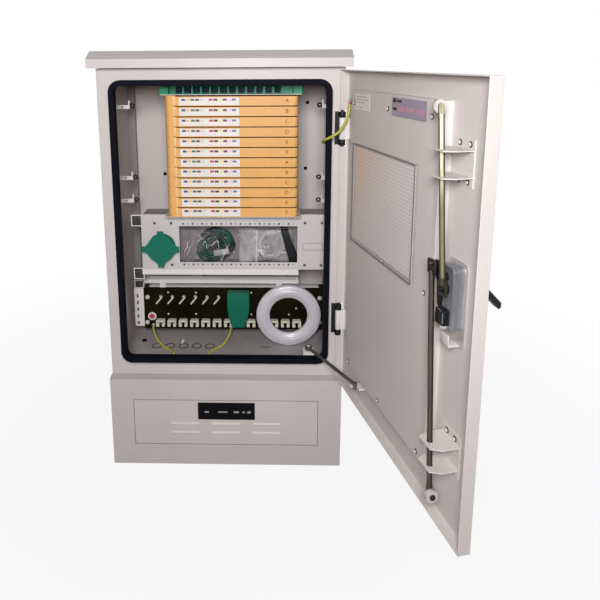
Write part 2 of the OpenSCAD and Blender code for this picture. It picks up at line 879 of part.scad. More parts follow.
module roof_cap()
  color([0.80, 0.77, 0.76]) {
    difference() {
      bar(-rx, rx)
        polygon([[rf, rz0], [rf, rz1], [rf + roof_run, rz2],
          [rb - roof_run, rz2], [rb, rz1], [rb, rz0]]);
      bar(-rx + sheet_t, rx - sheet_t)
        polygon([[rf + sheet_t, rz0 - e], [rf + sheet_t, rz1 - sheet_t/2],
          [rf + roof_run, rz2 - sheet_t], [rb - roof_run, rz2 - sheet_t],
          [rb - sheet_t, rz1 - sheet_t/2], [rb - sheet_t, rz0 - e]]);
    }
    // two channels that carry the roof on the body
    for (x = [-hw + roof_rail_in, hw - roof_rail_in - roof_rail_w])
      difference() {
        box(x, x + roof_rail_w, yf + roof_rail_end, yb - roof_rail_end, zt, rz2 - sheet_t/2);
        box(x + ch_t, x + roof_rail_w - ch_t, yf, yb, zt + ch_t, rz2 - sheet_t - ch_t);
      }
  }

module corner_channel()
  difference() {
    box(-in_x, -in_x + ch_w, in_b - ch_d, in_b, floor_z, ceil_z);
    box(-in_x - e, -in_x + ch_w - ch_t, in_b - ch_d + ch_t, in_b + e,
      floor_z - e, ceil_z + e);
  }

module corner_channels()
  color([0.76, 0.74, 0.73]) {
    corner_channel();
    mirror([1, 0, 0]) corner_channel();
  }

// posts behind the rack, each with an arm to the storage box
module rack_posts()
  color([0.74, 0.72, 0.71])
    for (x = post_x) {
      difference() {
        box(x, x + post_w, rack_y + rack_t, in_b, floor_z, ceil_z);
        box(x + ch_t, x + post_w - ch_t, rack_y + rack_t + ch_t, in_b + e,
          floor_z - e, ceil_z + e);
      }
      difference() {
        box(x, x + post_w, bx_y1, rack_y + rack_t + ch_t/2,
          bx_z0 + post_arm_z, bx_z0 + post_arm_z + post_arm_h);
        box(x + ch_t, x + post_w - ch_t, bx_y1 - e, rack_y + rack_t + ch_t,
          bx_z0 + post_arm_z + ch_t, bx_z0 + post_arm_z + post_arm_h - ch_t);
      }
      // foot bar to the clamp panel's top flange
      box(x, x + post_w, cp_y + clamp_t + clamp_top, rack_y + rack_t + ch_t/2,
        cp_z1 - post_bar_h, cp_z1);
    }

// arm with a rounded hook, cut out at its middle
module guide_profile() {
  difference() {
    translate([0, -arm_h/2]) square([arm_l - arm_t, arm_h]);
    translate([arm_l/2, 0]) circle(arm_h/4);
  }
  translate([arm_l - arm_t, -arm_h/2]) square([arm_t, arm_h/2 + arm_hook]);
  translate([arm_l - arm_t/2, arm_hook]) circle(arm_t*0.8);
}

module cable_guide(z) {
  translate([-in_x, yf + arm_y, z]) {
    wall(-arm_d/2, arm_d/2) guide_profile();
    rotate([0, 90, 0]) linear_extrude(arm_t)
      round_rect(-arm_foot/2, arm_foot/2, -arm_foot/2, arm_foot/2, arm_t);
  }
}

module cable_guides()
  color([0.92, 0.92, 0.90])
    for (z = [zt - arm_top, zt - arm_mid, zt - arm_low]) {
      cable_guide(z);
      mirror([1, 0, 0]) cable_guide(z);
    }

module tray_rack()
  color([0.74, 0.72, 0.71]) difference() {
    union() {
      box(rack_x0, rack_x1, rack_y, rack_y + rack_t, shelf_z, head_z + rack_t);
      box(rack_x0, rack_x1, ty0 + 2, rack_y + e, shelf_z, shelf_z + rack_t);
      box(rack_x0, rack_x1, ty0 + 2, rack_y + e, head_z, head_z + rack_t);
    }
    pin(tp_x, tp_y, shelf_z - e, head_z + rack_t + e, pivot_r);
  }

module tray_pivot_rod()
  color([0.70, 0.70, 0.72]) pin(tp_x, tp_y, shelf_z, head_z + rack_t, pivot_r);

// tray seen from above, set in by d
module tray_plan(d)
  difference() {
    round_rect(tx0 + d, tx1 - d, ty0 + d, ty1 - d, tray_r - d);
    translate([tx0 - e, ty0 - e]) square([barrel_r + d + e, barrel_r + d + e]);
  }

module fibre_ring(x)
  difference() {
    translate([x, tray_cy]) circle(ring_r);
    translate([x, tray_cy]) circle(ring_r - tray_t);
  }

module splice_comb()
  for (k = [-2:2])
    translate([tray_cx - tray_t/2 + k*comb_p, tray_cy - comb_l/2])
      square([tray_t, comb_l]);

module splice_tray(i) {
  z = tray_z + i*tray_pitch;
  body_h1 = tray_pitch - tray_gap;
  color([0.89, 0.67, 0.35]) difference() {
    union() {
      pin(tp_x, tp_y, z, z + tray_pitch - barrel_gap, barrel_r);
      translate([0, 0, z]) linear_extrude(body_h1) tray_plan(0);
    }
    difference() {
      translate([0, 0, z + tray_t]) linear_extrude(tray_pitch) tray_plan(tray_t);
      pin(tp_x, tp_y, z, z + tray_pitch + e, barrel_r);
      translate([0, 0, z + tray_t - e]) linear_extrude(ring_h + e) {
        fibre_ring(tray_cx - ring_x);
        fibre_ring(tray_cx + ring_x);
        splice_comb();
      }
    }
    box(tp_x + barrel_r + label_x, tp_x + barrel_r + label_x + label_w,
      ty0 - e, ty0 + label_d, z + body_h1 - label_h - tray_t, z + body_h1 - tray_t);
    pin(tp_x, tp_y, z - e, z + tray_pitch + e, pivot_r + run_fit);
  }
}

module splice_tray_01() splice_tray(11);
module splice_tray_02() splice_tray(10);
module splice_tray_03() splice_tray(9);
module splice_tray_04() splice_tray(8);
module splice_tray_05() splice_tray(7);
module splice_tray_06() splice_tray(6);
module splice_tray_07() splice_tray(5);
module splice_tray_08() splice_tray(4);
module splice_tray_09() splice_tray(3);
module splice_tray_10() splice_tray(2);
module splice_tray_11() splice_tray(1);
module splice_tray_12() splice_tray(0);

ab_z = head_z + rack_t;
ab_y = ty0 + frame_y;
ad_x = tx0 + adapter_x;
ad_z = ab_z + (frame_h - adapter_w)/2;

// green end cap of the adapter row
module end_cap(x, h)
  translate([0, 0, ab_z]) linear_extrude(h)
    round_rect(x, x + cap_w, ab_y - adapter_l - cap_out, ab_y + rack_t/2, cap_out/2);

module adapter_frame()
  color([0.30, 0.60, 0.42]) difference() {
    union() {
      box(rack_x0, rack_x1, ab_y, ab_y + frame_d, ab_z, ab_z + rack_t);
      box(rack_x0, rack_x1, ab_y, ab_y + rack_t, ab_z, ab_z + frame_h);
      end_cap(rack_x0 - rack_side/2, frame_h - rack_t);
      end_cap(rack_x1 - cap_w + rack_side/4, frame_h + rack_t);
      for (i = [1:tray_n - 1])
        box(ad_x + (i - 0.5)*adapter_p - rack_t, ad_x + (i - 0.5)*adapter_p + rack_t,
          ab_y - adapter_l + port_t, ab_y + rack_t/2, ab_z, ab_z + frame_h - rack_t);
    }
    for (i = [0:tray_n - 1])
      translate([ad_x + i*adapter_p, 0, ad_z])
        box(-adapter_w/2 + port_t, adapter_w/2 - port_t, ab_y - e, ab_y + rack_t + e,
          port_t, adapter_w - port_t);
  }

module fibre_adapters()
  color([0.10, 0.16, 0.30])
    for (i = [0:tray_n - 1])
      translate([ad_x + i*adapter_p, 0, ad_z]) difference() {
        union() {
          box(-adapter_w/2, adapter_w/2, ab_y - adapter_l, ab_y, 0, adapter_w);
          box(-adapter_w/2 + port_t, adapter_w/2 - port_t, ab_y - e,
            ab_y + adapter_l, port_t, adapter_w - port_t);
        }
        box(-adapter_w/2 + port_t, adapter_w/2 - port_t, ab_y - adapter_l - e,
          ab_y - adapter_l + port_d, port_t, adapter_w - port_t);
      }

module tie_holes()
  for (i = [0:tie_n - 1])
    for (z = [win_z0 - tie_up, win_z0 + window_h + tie_up])
      translate([win_x0 + (window_w - (tie_n - 1)*tie_p)/2 + i*tie_p, z]) circle(i % 2 == 0 ? tie_big : tie_r);

module storage_panel()
  color([0.77, 0.75, 0.74])
    wall(sp_y, sp_y + sheet_t) difference() {
      round_rect(sp_x0, sp_x1, sp_z0, sp_z1, 2*sheet_t);
      translate([win_x0, win_z0]) square([window_w, window_h]);
      tie_holes();
    }

module storage_box()
  color([0.66, 0.65, 0.64]) difference() {
    box(sp_x0 + box_in, sp_x1 - box_in, sp_y + sheet_t, bx_y1, bx_z0, bx_z1);
    box(sp_x0 + box_in + sheet_t, sp_x1 - box_in - sheet_t, sp_y,
      bx_y1 - sheet_t, bx_z0 + sheet_t, bx_z1 - sheet_t);
  }

// spool flange: a disc with four arms, each widened where it leaves the disc
module spool_flange() {
  circle(spool_r);
  for (a = [0:90:270])
    rotate(a) polygon([[0, -spool_w], [spool_r - spool_w/8, -spool_w*0.72],
      [spool_r + spool_w/4, -spool_w/2 + 2], [spool_arm, -spool_w/2 + 2],
      [spool_arm, spool_w/2 - 2], [spool_r + spool_w/4, spool_w/2 - 2],
      [spool_r - spool_w/8, spool_w*0.72], [0, spool_w]]);
}

module slack_spool()
  color([0.13, 0.47, 0.36]) {
    wall(sp_y - spool_d, sp_y - spool_d + spool_t)
      translate([spool_x, spool_z]) spool_flange();
    wall(sp_y - spool_t, sp_y)
      translate([spool_x, spool_z]) circle(spool_r);
    difference() {
      pin_y(spool_x, spool_z, sp_y - spool_d + spool_t/2, sp_y - spool_t/2, spool_r*0.6);
      pin_y(spool_x, spool_z, sp_y - spool_d + spool_t, sp_y + e, spool_r*0.6 - spool_t);
    }
  }

bag_y0 = sp_y + bag_front;
bag_y1 = bx_y1 - sheet_t - bag_back;
bag_z0 = bx_z0 + sheet_t + rest_gap;

module bag(x0, x1, h)
  intersection() {
    wall(bag_y0, bag_y1) round_rect(x0, x1, bag_z0, bag_z0 + h, bag_r);
    bar(x0, x1) round_rect(bag_y0, bag_y1, bag_z0, bag_z0 + h, bag_r);
  }

module accessory_bag_left()
  color([0.86, 0.90, 0.89]) bag(win_x0 + box_in, win_x0 + window_w*0.47, window_h + box_in);

module accessory_bag_right()
  color([0.86, 0.90, 0.89])
    bag(win_x0 + window_w*0.49, win_x0 + window_w - bag_back, window_h + bag_back);

// channel under the storage box, open to the back
module cross_rail()
  color([0.86, 0.85, 0.84])
    bar(sp_x0 - rack_t, sp_x1 - panel_h/2) difference() {
      translate([sp_y + sheet_t, bx_z0 - rail_h]) square([rail_d - sheet_t, rail_h]);
      translate([sp_y + 2*sheet_t, bx_z0 - rail_h + sheet_t])
        square([rail_d, rail_h - 2*sheet_t]);
    }

module clamp_panel()
  color([0.10, 0.09, 0.05])
    bar(cp_x0, cp_x1)
      polygon([[cp_y, cp_z0], [cp_y + clamp_t, cp_z0], [cp_y + clamp_t, cp_z1 - clamp_t],
        [cp_y + clamp_t + clamp_top, cp_z1 - clamp_t],
        [cp_y + clamp_t + clamp_top, cp_z1], [cp_y, cp_z1]]);

// angle from the corner channel to the panel's end, with a row of square holes
module clamp_bracket(x1) {
  x0 = -in_x + ch_w - ch_t;
  z0 = cp_z0 + bracket_t*3;
  z1 = cp_z1 - clamp_t;
  difference() {
    translate([0, 0, z0]) linear_extrude(z1 - z0)
      polygon([[x0, in_b - ch_d], [x0, cp_y + clamp_t], [x1, cp_y + clamp_t],
        [x1, cp_y + clamp_t + bracket_t], [x0 + bracket_t, cp_y + clamp_t + bracket_t],
        [x0 + bracket_t, in_b - ch_d]]);
    for (i = [0:4])
      box(x0 + bracket_t + bracket_hole/2, x0 + bracket_t + bracket_hole,
        cp_y, cp_y + clamp_t + bracket_t + e,
        z0 + bracket_hole/2 + i*bracket_p, z0 + bracket_hole*1.5 + i*bracket_p);
  }
}

module clamp_brackets()
  color([0.88, 0.87, 0.86]) {
    clamp_bracket(cp_x0 + bracket_w);
    mirror([1, 0, 0]) clamp_bracket(-cp_x1 + bracket_w);
  }

// open channel on two feet
module cable_rail()
  color([0.86, 0.85, 0.84]) {
    y = cp_y + clamp_t;
    z = cp_z1 + cable_rail_up;
    bar(cp_x0, cp_x0 + cable_rail_l)
      polygon([[y, z], [y, z + cable_rail_h], [y + bracket_t, z + cable_rail_h],
        [y + bracket_t, z + bracket_t], [y + cable_rail_d - bracket_t, z + bracket_t],
        [y + cable_rail_d - bracket_t, z + cable_rail_h], [y + cable_rail_d, z + cable_rail_h],
        [y + cable_rail_d, z]]);
    for (x = [cp_x0 + hook_x, cp_x0 + cable_rail_l - hook_x - clamp_top/2])
      box(x, x + clamp_top/2, y + 2*bracket_t, y + cable_rail_d - 2*bracket_t,
        cp_z1, z + bracket_t/2);
  }

module hook_profile() {
  translate([-hook_l, -hook_t/2]) square([2*hook_l - hook_t/2, hook_t]);
  translate([hook_l - hook_t, -hook_t/2]) square([hook_t, hook_t*2]);
  translate([-hook_l, 0]) circle(hook_t/2 + 0.2);
  translate([hook_l - hook_t/2, hook_t*1.5]) circle(hook_t/2 + 0.2);
}

module cable_hooks()
  color([0.90, 0.88, 0.80])
    for (i = [0:5])
      translate([cp_x0 + hook_x + i*hook_p, cp_y, cp_z1 - hook_down])
        rotate([0, -hook_turn, 0]) wall(-hook_d, 0) hook_profile();

// clamp saddle with a T-shaped slot for the strap round the cable
module clip_profile()
  difference() {
    round_rect(-clip_w/2, clip_w/2, 0, clip_h, 2.5);
    translate([-clip_slot/2, -e]) square([clip_slot, clip_h*0.6 + e]);
    translate([-clip_w/2 + clip_slot/3, clip_h*0.5]) square([clip_w - clip_slot/1.5, clip_h*0.2]);
  }

module cable_clamps()
  color([0.90, 0.88, 0.80])
    for (i = [0:12])
      translate([cp_x0 + clip_x + i*clip_p, cp_y, cp_z0 + clip_up])
        wall(-clip_d, 0) clip_profile();

sleeve_y1 = cp_y - sleeve_gap;
sleeve_y0 = sleeve_y1 - sleeve_d;
sleeve_z = cp_z0 + sleeve_up;

// right half of the sleeve's outline: half width w, foot f, height h
function sleeve_side(w, f, h) = [[f, 0], [f + (w - f)*0.2, h*0.05], [f + (w - f)*0.55, h*0.22],
  [f + (w - f)*0.85, h*0.4], [w, h*0.6], [w, h]];

module sleeve_outline(w, f, h)
  translate([sleeve_x, sleeve_z])
    polygon(concat(sleeve_side(w, f, h),
      [for (i = [5:-1:0]) [-sleeve_side(w, f, h)[i][0], sleeve_side(w, f, h)[i][1]]]));

// flat boot, closed on top and open below, on a strap from the clamp panel
module cable_sleeve()
  color([0.05, 0.36, 0.24]) {
    difference() {
      wall(sleeve_y0, sleeve_y1) sleeve_outline(sleeve_r, sleeve_foot, sleeve_h);
      translate([0, 0, -e]) wall(sleeve_y0 + sleeve_wall, sleeve_y1 - sleeve_wall)
        sleeve_outline(sleeve_r - sleeve_wall, sleeve_foot - sleeve_wall, sleeve_h - sleeve_wall);
    }
    box(sleeve_x - sleeve_wall*2, sleeve_x + sleeve_wall*2, sleeve_y1 - sleeve_wall/2,
      cp_y, sleeve_z + sleeve_h*0.5, sleeve_z + sleeve_h*0.75);
  }

roll_h = tube_p + 2*tube_r;
roll_foot = (tube_p/2 + roll_h/2 - tube_r/2)*sin(roll_lean);
roll_out = roll_r + tube_p + tube_r;

module tube_roll()
  color([0.88, 0.87, 0.92])
    translate([roll_x, cp_y - roll_off, floor_z + rest_gap + roll_foot])
      rotate([-roll_lean, 0, 0])
        translate([0, roll_h/2 - tube_r/2, roll_out])
          rotate([90, 0, 0])
            rotate_extrude()
              for (i = [-1:1])
                for (j = [-0.5, 0.5])
                  translate([roll_r + i*tube_p, j*tube_p])
                    circle(tube_r, $fn = 20);

module earth_wires()
  color([0.62, 0.70, 0.16]) {
    cable(wire_a, wire_r);
    cable(wire_b, wire_r);
  }

module stay_bracket()
  color([0.35, 0.36, 0.38]) {
    box(stay_x - stay_w, stay_x + stay_w, yf + sheet_t, yf + sheet_t + stay_t,
      zb + stay_foot, st_low);
    box(stay_x - stay_w, stay_x + stay_w, yf + sheet_t, st_y + 3*stay_r,
      st_low - stay_t, st_low);
    pin(stay_x, st_y, st_low - 1, st_z + stay_r + 2, stay_r - 1);
  }

module stay_shape() {
  difference() {
    union() {
      pin(0, 0, -stay_r, stay_r, stay_r + 4.5);
      pin_x(0, 0, 4, stay_l, stay_r);
      pin(stay_l, 0, -stay_r - stay_gap - stay_t - 1.5, 0, hook_r);
      pin(stay_l, 0, -stay_r - 0.4, stay_r + 0.4, stay_r + 0.6);
    }
    pin(0, 0, -stay_r - e, stay_r + e, stay_r - 1 + run_fit);
  }
}

module stay_rod()
  color([0.22, 0.22, 0.24])
    translate([stay_x, st_y, st_z]) rotate([0, 0, stay_a]) stay_shape();

// plate on the door with an open notch for the stay's hook
module stay_door_tab()
  color([0.55, 0.54, 0.52]) at_door() {
    box(hk_x - tab_w, hk_x + tab_w, d_in, hk_y - hook_r - hook_play, st_low - stay_t, st_low);
    box(hk_x + hook_r + hook_play, hk_x + tab_w, d_in, hk_y + 2*hook_r + hook_play,
      st_low - stay_t, st_low);
    box(hk_x - tab_w, hk_x + tab_w, d_in, d_in + stay_t*0.7, st_low - stay_t, st_low + tab_h);
  }

module door_earth_strap()
  color([0.66, 0.72, 0.16]) cable(strap, wire_r);

module hinge_leaf(z) {
  box(ax_x - leaf_in, hw, yf - sheet_t, yf, z - hinge_h/2, z + hinge_h/2);
  for (s = [-1, 1])
    translate([0, 0, z + s*(hinge_h/2 - hinge_arm/2)]) {
      pin(ax_x, ax_y, -hinge_arm/2, hinge_arm/2, knuckle_r + 1);
      box(ax_x - knuckle_r - 1, hw, ax_y, yf - sheet_t/2, -hinge_arm/2, hinge_arm/2);
    }
  pin(ax_x, ax_y, z - hinge_h/2 - pin_end, z + hinge_h/2 + pin_end, pin_r);
}

module hinge_frame_leaves()
  color([0.07, 0.07, 0.08]) {
    hinge_leaf(hz0);
    hinge_leaf(hz1);
  }

k_h = hinge_h/2 - hinge_arm - arm_gap;

module hinge_door_leaf(z)
  difference() {
    union() {
      pin(ax_x, ax_y, z - k_h, z + k_h, knuckle_r);
      box(ax_x - 6, dx - sheet_t, d_in, ax_y, z - k_h, z + k_h);
    }
    pin(ax_x, ax_y, z - k_h - e, z + k_h + e, pin_r + run_fit);
  }

module hinge_door_leaves()
  color([0.84, 0.83, 0.82]) at_door() {
    hinge_door_leaf(hz0);
    hinge_door_leaf(hz1);
  }

module door_shell()
  color([0.80, 0.77, 0.76]) at_door() difference() {
    box(-dx, dx, d_out, d_lip, dz0, dz1);
    box(-dx + sheet_t, dx - sheet_t, d_in, d_lip + e, dz0 + sheet_t, dz1 - sheet_t);
    for (z = [hz0, hz1])
      box(dx - sheet_t - e, dx + e, ax_y - knuckle_r - hinge_room, d_lip + e,
        z - hinge_h/2 - hinge_room, z + hinge_h/2 + hinge_room);
    pin_y(lk_x, lk_z, d_out - e, d_in + e, spindle_r + sleeve_t + run_fit);
  }

module door_inner_panel()
  color([0.80, 0.77, 0.76]) at_door() difference() {
    box(pan_x0, pan_x1, d_in, pan_y, pan_z0, pan_z1);
    box(pan_x0 + pan_t, pan_x1 - pan_t, d_in - e, pan_y - pan_t,
      pan_z0 + pan_t, pan_z1 - pan_t);
  }

pk_x1 = pan_x1 - pocket_x;
pk_x0 = pk_x1 - pocket_w;
pk_z0 = pan_z0 + pocket_z;
pk_z1 = pk_z0 + pocket_h;

module document_pocket()
  color([0.86, 0.85, 0.84]) at_door() difference() {
    box(pk_x0, pk_x1, pan_y, pan_y + pocket_d, pk_z0, pk_z1);
    box(pk_x0 + pocket_rim, pk_x1 - pocket_rim, pan_y + window_t, pan_y + pocket_d - window_t,
      pk_z0 + pocket_rim, pk_z1 + e);
  }

// carries rod parts: z runs along the rod away from the lock, at the pin's side
module at_rod(turn, lean)
  translate([lk_x, rod_y, lk_z])
    rotate([0, turn + lean, 0])
      translate([-pin_side, 0, 0])
        children();

module rod_hole(turn, lean)
  at_rod(turn, lean) pin(0, 0, 0, reach_low, rod_r + guide_fit);

guide_y1 = rod_y + rod_r + guide_lip;

// side profile: two plates that carry the rod, each with a foot on the skin
module guide_side(zc)
  polygon([[d_in, zc - guide_h/2 - guide_foot], [d_in + guide_t, zc - guide_h/2 - guide_foot],
    [d_in + guide_t, zc - guide_h/2], [guide_y1, zc - guide_h/2],
    [guide_y1, zc - guide_h/2 + guide_t], [d_in + guide_t, zc - guide_h/2 + guide_t],
    [d_in + guide_t, zc + guide_h/2 - guide_t], [guide_y1, zc + guide_h/2 - guide_t],
    [guide_y1, zc + guide_h/2], [d_in + guide_t, zc + guide_h/2],
    [d_in + guide_t, zc + guide_h/2 + guide_foot], [d_in, zc + guide_h/2 + guide_foot]]);

// outline of the plates from above, narrower at the rod
module guide_top(xc)
  polygon([[xc - guide_w/2, d_in - e], [xc + guide_w/2, d_in - e],
    [xc + guide_w/2, rod_y - 2*rod_r], [xc + guide_w/3, guide_y1 + e],
    [xc - guide_w/3, guide_y1 + e], [xc - guide_w/2, rod_y - 2*rod_r]]);

module rod_guide(zc, xc)
  intersection() {
    bar(xc - guide_w/2, xc + guide_w/2) guide_side(zc);
    translate([0, 0, zc - guide_h]) linear_extrude(2*guide_h) guide_top(xc);
  }

module rod_guides()
  color([0.78, 0.75, 0.74]) at_door() difference() {
    union() {
      rod_guide(lk_z + guide_up, lk_x + guide_up*tan(lean_up) - pin_side);
      rod_guide(lk_z - guide_low, lk_x - guide_low*tan(lean_low) + pin_side);
    }
    rod_hole(0, lean_up);
    rod_hole(180, lean_low);
  }

// rod with a slotted end on the cam and an axle for the roller
module rod_shape(reach, pin_at) {
  way = cam_a*0.4 + 2*cam_pin_r + rod_slot;
  neck = rod_end_t/2;
  hub = neck + 2*roller_gap + roller_w;
  difference() {
    union() {
      pin(0, 0, pin_at + rod_slot*4, reach - roller_r - roller_gap, rod_r);
      wall(-neck, neck)
        round_rect(-rod_end_w/2, rod_end_w/2, pin_at - rod_end_w/2 + 1,
          pin_at + rod_end_w/2 + 3, 3);
    }
    box(-way/2, way/2, -rod_end_t, rod_end_t,
      pin_at - cam_pin_r - slot_play, pin_at + cam_pin_r + slot_play);
  }
  // flattened end with the axle and its head
  box(-neck, neck, -rod_r - 0.5, rod_r + 0.5, reach - roller_r - rod_r - 1.5, reach);
  pin_x(0, reach, -neck, neck, rod_r + 0.5);
  pin_x(0, reach, 0, hub + neck, axle_r);
  pin_x(0, reach, hub, hub + neck, axle_r + 2);
}

pin_rest_up = -cam_a*sin(45 + lean_up);
pin_rest_low = -cam_a*sin(45 + lean_low);

module upper_rod()
  color([0.66, 0.62, 0.52]) at_door()
    at_rod(0, lean_up) rod_shape(reach_up, pin_rest_up);

module lower_rod()
  color([0.66, 0.62, 0.52]) at_door()
    at_rod(180, lean_low) rod_shape(reach_low, pin_rest_low);

module roller_shape(reach)
  difference() {
    union() {
      pin_x(0, reach, rod_end_t/2 + roller_gap, rod_end_t/2 + roller_gap + roller_w,
        roller_r - roller_rim);
      pin_x(0, reach, rod_end_t/2 + roller_gap + roller_rim,
        rod_end_t/2 + roller_gap + roller_w - roller_rim, roller_r);
    }
    pin_x(0, reach, 0, rod_end_t + 2*roller_gap + roller_w, axle_r + run_fit);
  }

module upper_roller()
  color([0.90, 0.89, 0.86]) at_door() at_rod(0, lean_up) roller_shape(reach_up);

module lower_roller()
  color([0.90, 0.89, 0.86]) at_door() at_rod(180, lean_low) roller_shape(reach_low);

module lock_case()
  color([0.52, 0.56, 0.60]) at_door() difference() {
    union() {
      // base plate on the skin
      wall(d_in, d_in + guide_t)
        round_rect(lk_x - case_w/2 - case_edge, lk_x + case_w/2 + case_edge,
          lk_z - case_h - case_low, lk_z + case_up + case_edge, case_r);
      // housing
      wall(d_in, case_y1)
        round_rect(lk_x - case_w/2, lk_x + case_w/2, lk_z - case_h + case_up,
          lk_z + case_up, case_r);
      // barrel boss under the cam's sweep
      wall(d_in, cam_y1)
        round_rect(lk_x - case_w/2 + case_edge, lk_x + barrel_side, lk_z - case_h + case_up*1.5,
          lk_z - cam_a - cam_finger - barrel_side/2, barrel_side - 1);
      // handle plate outside
      wall(d_out - plate_t, d_out)
        round_rect(lk_x - case_w/2, lk_x + case_w/2, lk_z - handle_l - plate_low,
          lk_z + plate_up, case_w/2 - e);
      pin_y(lk_x, lk_z, d_out - e, d_in + e, spindle_r + sleeve_t);
    }
    pin_y(lk_x, lk_z, d_out - plate_t - e, case_y1 + e, spindle_r + run_fit);
  }

fork_x = handle_w/2 + fork_gap;
fork_y0 = d_out - plate_t - handle_gap;

// cam seen along its axis: two lobes for the rods and a tongue for the frame
module cam_profile() {
  circle(cam_lobe + 2);
  for (s = [-1, 1]) {
    translate([s*cam_a, 0]) circle(cam_lobe);
    polygon([[0, -cam_lobe - 1.5], [s*cam_a, -cam_lobe + 0.5], [s*cam_a, cam_lobe - 0.5],
      [0, cam_lobe + 1.5]]);
  }
  rotate(-45) {
    polygon([[-cam_lobe, 0], [-cam_lobe/2, -cam_a - cam_finger + cam_lobe/2],
      [cam_lobe/2, -cam_a - cam_finger + cam_lobe/2], [cam_lobe, 0]]);
    translate([0, -cam_a - cam_finger + cam_lobe/2]) circle(cam_lobe/2);
  }
}

module lock_cam()
  color([0.06, 0.06, 0.07]) at_door()
    translate([lk_x, 0, lk_z]) {
      pin_y(0, 0, fork_y0 + 0.5, cam_y1, spindle_r);
      rotate([0, -45, 0]) {
        wall(cam_y0, cam_y1) cam_profile();
        for (s = [-1, 1])
          pin_y(s*cam_a, 0, cam_y0 + 1, rod_y + rod_end_t/2 + rod_end_t, cam_pin_r);
      }
      // fork with the handle's pin
      for (s = [-1, 1])
        box(s > 0 ? fork_x : -fork_x - fork_t, s > 0 ? fork_x + fork_t : -fork_x,
          swing_y - spindle_r, fork_y0 + handle_gap, -spindle_r, spindle_r);
      box(-fork_x - 1, fork_x + 1, fork_y0 + 0.5, fork_y0 + handle_gap - 0.5,
        -spindle_r, spindle_r);
      pin_x(swing_y, 0, -fork_x - 1, fork_x + 1, fork_pin);
    }

// handle: a tapered grip with a wedge under its end
module swing_handle()
  color([0.05, 0.05, 0.06]) at_door()
    translate([lk_x, swing_y, lk_z])
      rotate([-handle_lift, 0, 0]) difference() {
        union() {
          pin_x(0, 0, -handle_w/2, handle_w/2, handle_t/2 - 0.4);
          intersection() {
            bar(-handle_w/2, handle_w/2)
              polygon([[-handle_t/2 + 1, 0], [-handle_t/2 + 1, -handle_l + grip_t],
                [-handle_t/2 + 1 + grip_t, -handle_l], [handle_t/2 - 1, -handle_l],
                [handle_t/2 - 1, -handle_l*0.6], [handle_t/2 - 3, -handle_l*0.5],
                [handle_t/2 - 1, 0]]);
            wall(-handle_t, handle_t)
              polygon([[-handle_w/2, e], [handle_w/2, e], [handle_w/2 - grip_t, -handle_l - e],
                [-handle_w/2 + grip_t, -handle_l - e]]);
          }
        }
        pin_x(0, 0, -handle_w, handle_w, fork_pin + run_fit);
      }

plinth_frame();
plinth_cover();
left_side_panel();
right_side_panel();
back_panel();
floor_plate();
top_plate();
front_frame();
door_gasket();
roof_cap();
corner_channels();
rack_posts();
cable_guides();
tray_rack();
tray_pivot_rod();
adapter_frame();
fibre_adapters();
storage_panel();
storage_box();
slack_spool();
accessory_bag_left();
accessory_bag_right();
cross_rail();
clamp_panel();
clamp_brackets();
cable_rail();
cable_hooks();
cable_clamps();
cable_sleeve();
tube_roll();
earth_wires();
stay_bracket();
stay_rod();
hinge_frame_leaves();
splice_tray_01();
splice_tray_02();
splice_tray_03();
splice_tray_04();
splice_tray_05();
splice_tray_06();
splice_tray_07();
splice_tray_08();
splice_tray_09();
splice_tray_10();
splice_tray_11();
splice_tray_12();
door_shell();
door_inner_panel();
hinge_door_leaves();
document_pocket();
rod_guides();
lock_case();
upper_rod();
lower_rod();
upper_roller();
lower_roller();
lock_cam();
swing_handle();
stay_door_tab();
door_earth_strap();
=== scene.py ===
# %% [markdown]
# A roadside fibre cabinet stands open on its plinth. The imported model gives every
# sheet, tray, rod and hinge its true size, so this lesson only dresses it. We load
# that model first and keep its box, because the dressed cabinet may not outgrow it.

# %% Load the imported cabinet
import json
import math

import bmesh
import bpy
from mathutils import Matrix, Vector, noise


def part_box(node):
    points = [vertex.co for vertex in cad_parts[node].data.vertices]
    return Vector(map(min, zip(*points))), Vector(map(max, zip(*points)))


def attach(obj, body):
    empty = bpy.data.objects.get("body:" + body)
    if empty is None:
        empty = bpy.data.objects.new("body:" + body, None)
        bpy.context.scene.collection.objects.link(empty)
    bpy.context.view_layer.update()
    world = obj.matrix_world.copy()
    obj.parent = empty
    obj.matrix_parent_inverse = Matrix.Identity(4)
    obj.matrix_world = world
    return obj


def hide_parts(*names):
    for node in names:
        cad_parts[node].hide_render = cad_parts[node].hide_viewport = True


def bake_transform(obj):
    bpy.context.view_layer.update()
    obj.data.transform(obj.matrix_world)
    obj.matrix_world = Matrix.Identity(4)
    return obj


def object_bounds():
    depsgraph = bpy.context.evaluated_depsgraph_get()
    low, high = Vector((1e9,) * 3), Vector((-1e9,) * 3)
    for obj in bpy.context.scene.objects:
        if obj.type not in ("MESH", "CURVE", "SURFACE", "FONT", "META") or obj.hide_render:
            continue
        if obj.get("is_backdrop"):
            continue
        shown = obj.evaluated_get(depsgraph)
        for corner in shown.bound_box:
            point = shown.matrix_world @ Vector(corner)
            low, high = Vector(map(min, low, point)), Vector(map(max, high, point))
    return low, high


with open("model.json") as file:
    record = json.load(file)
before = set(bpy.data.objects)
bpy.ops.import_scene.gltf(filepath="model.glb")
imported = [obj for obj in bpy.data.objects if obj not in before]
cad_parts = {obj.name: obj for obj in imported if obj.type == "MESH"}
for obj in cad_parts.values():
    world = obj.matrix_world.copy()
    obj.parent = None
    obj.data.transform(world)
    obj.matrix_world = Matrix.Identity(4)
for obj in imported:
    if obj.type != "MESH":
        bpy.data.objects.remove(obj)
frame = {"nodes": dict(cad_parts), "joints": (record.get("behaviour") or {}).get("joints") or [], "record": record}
cad_low, cad_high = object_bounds()
nodes = frame["nodes"]
MM = 0.001
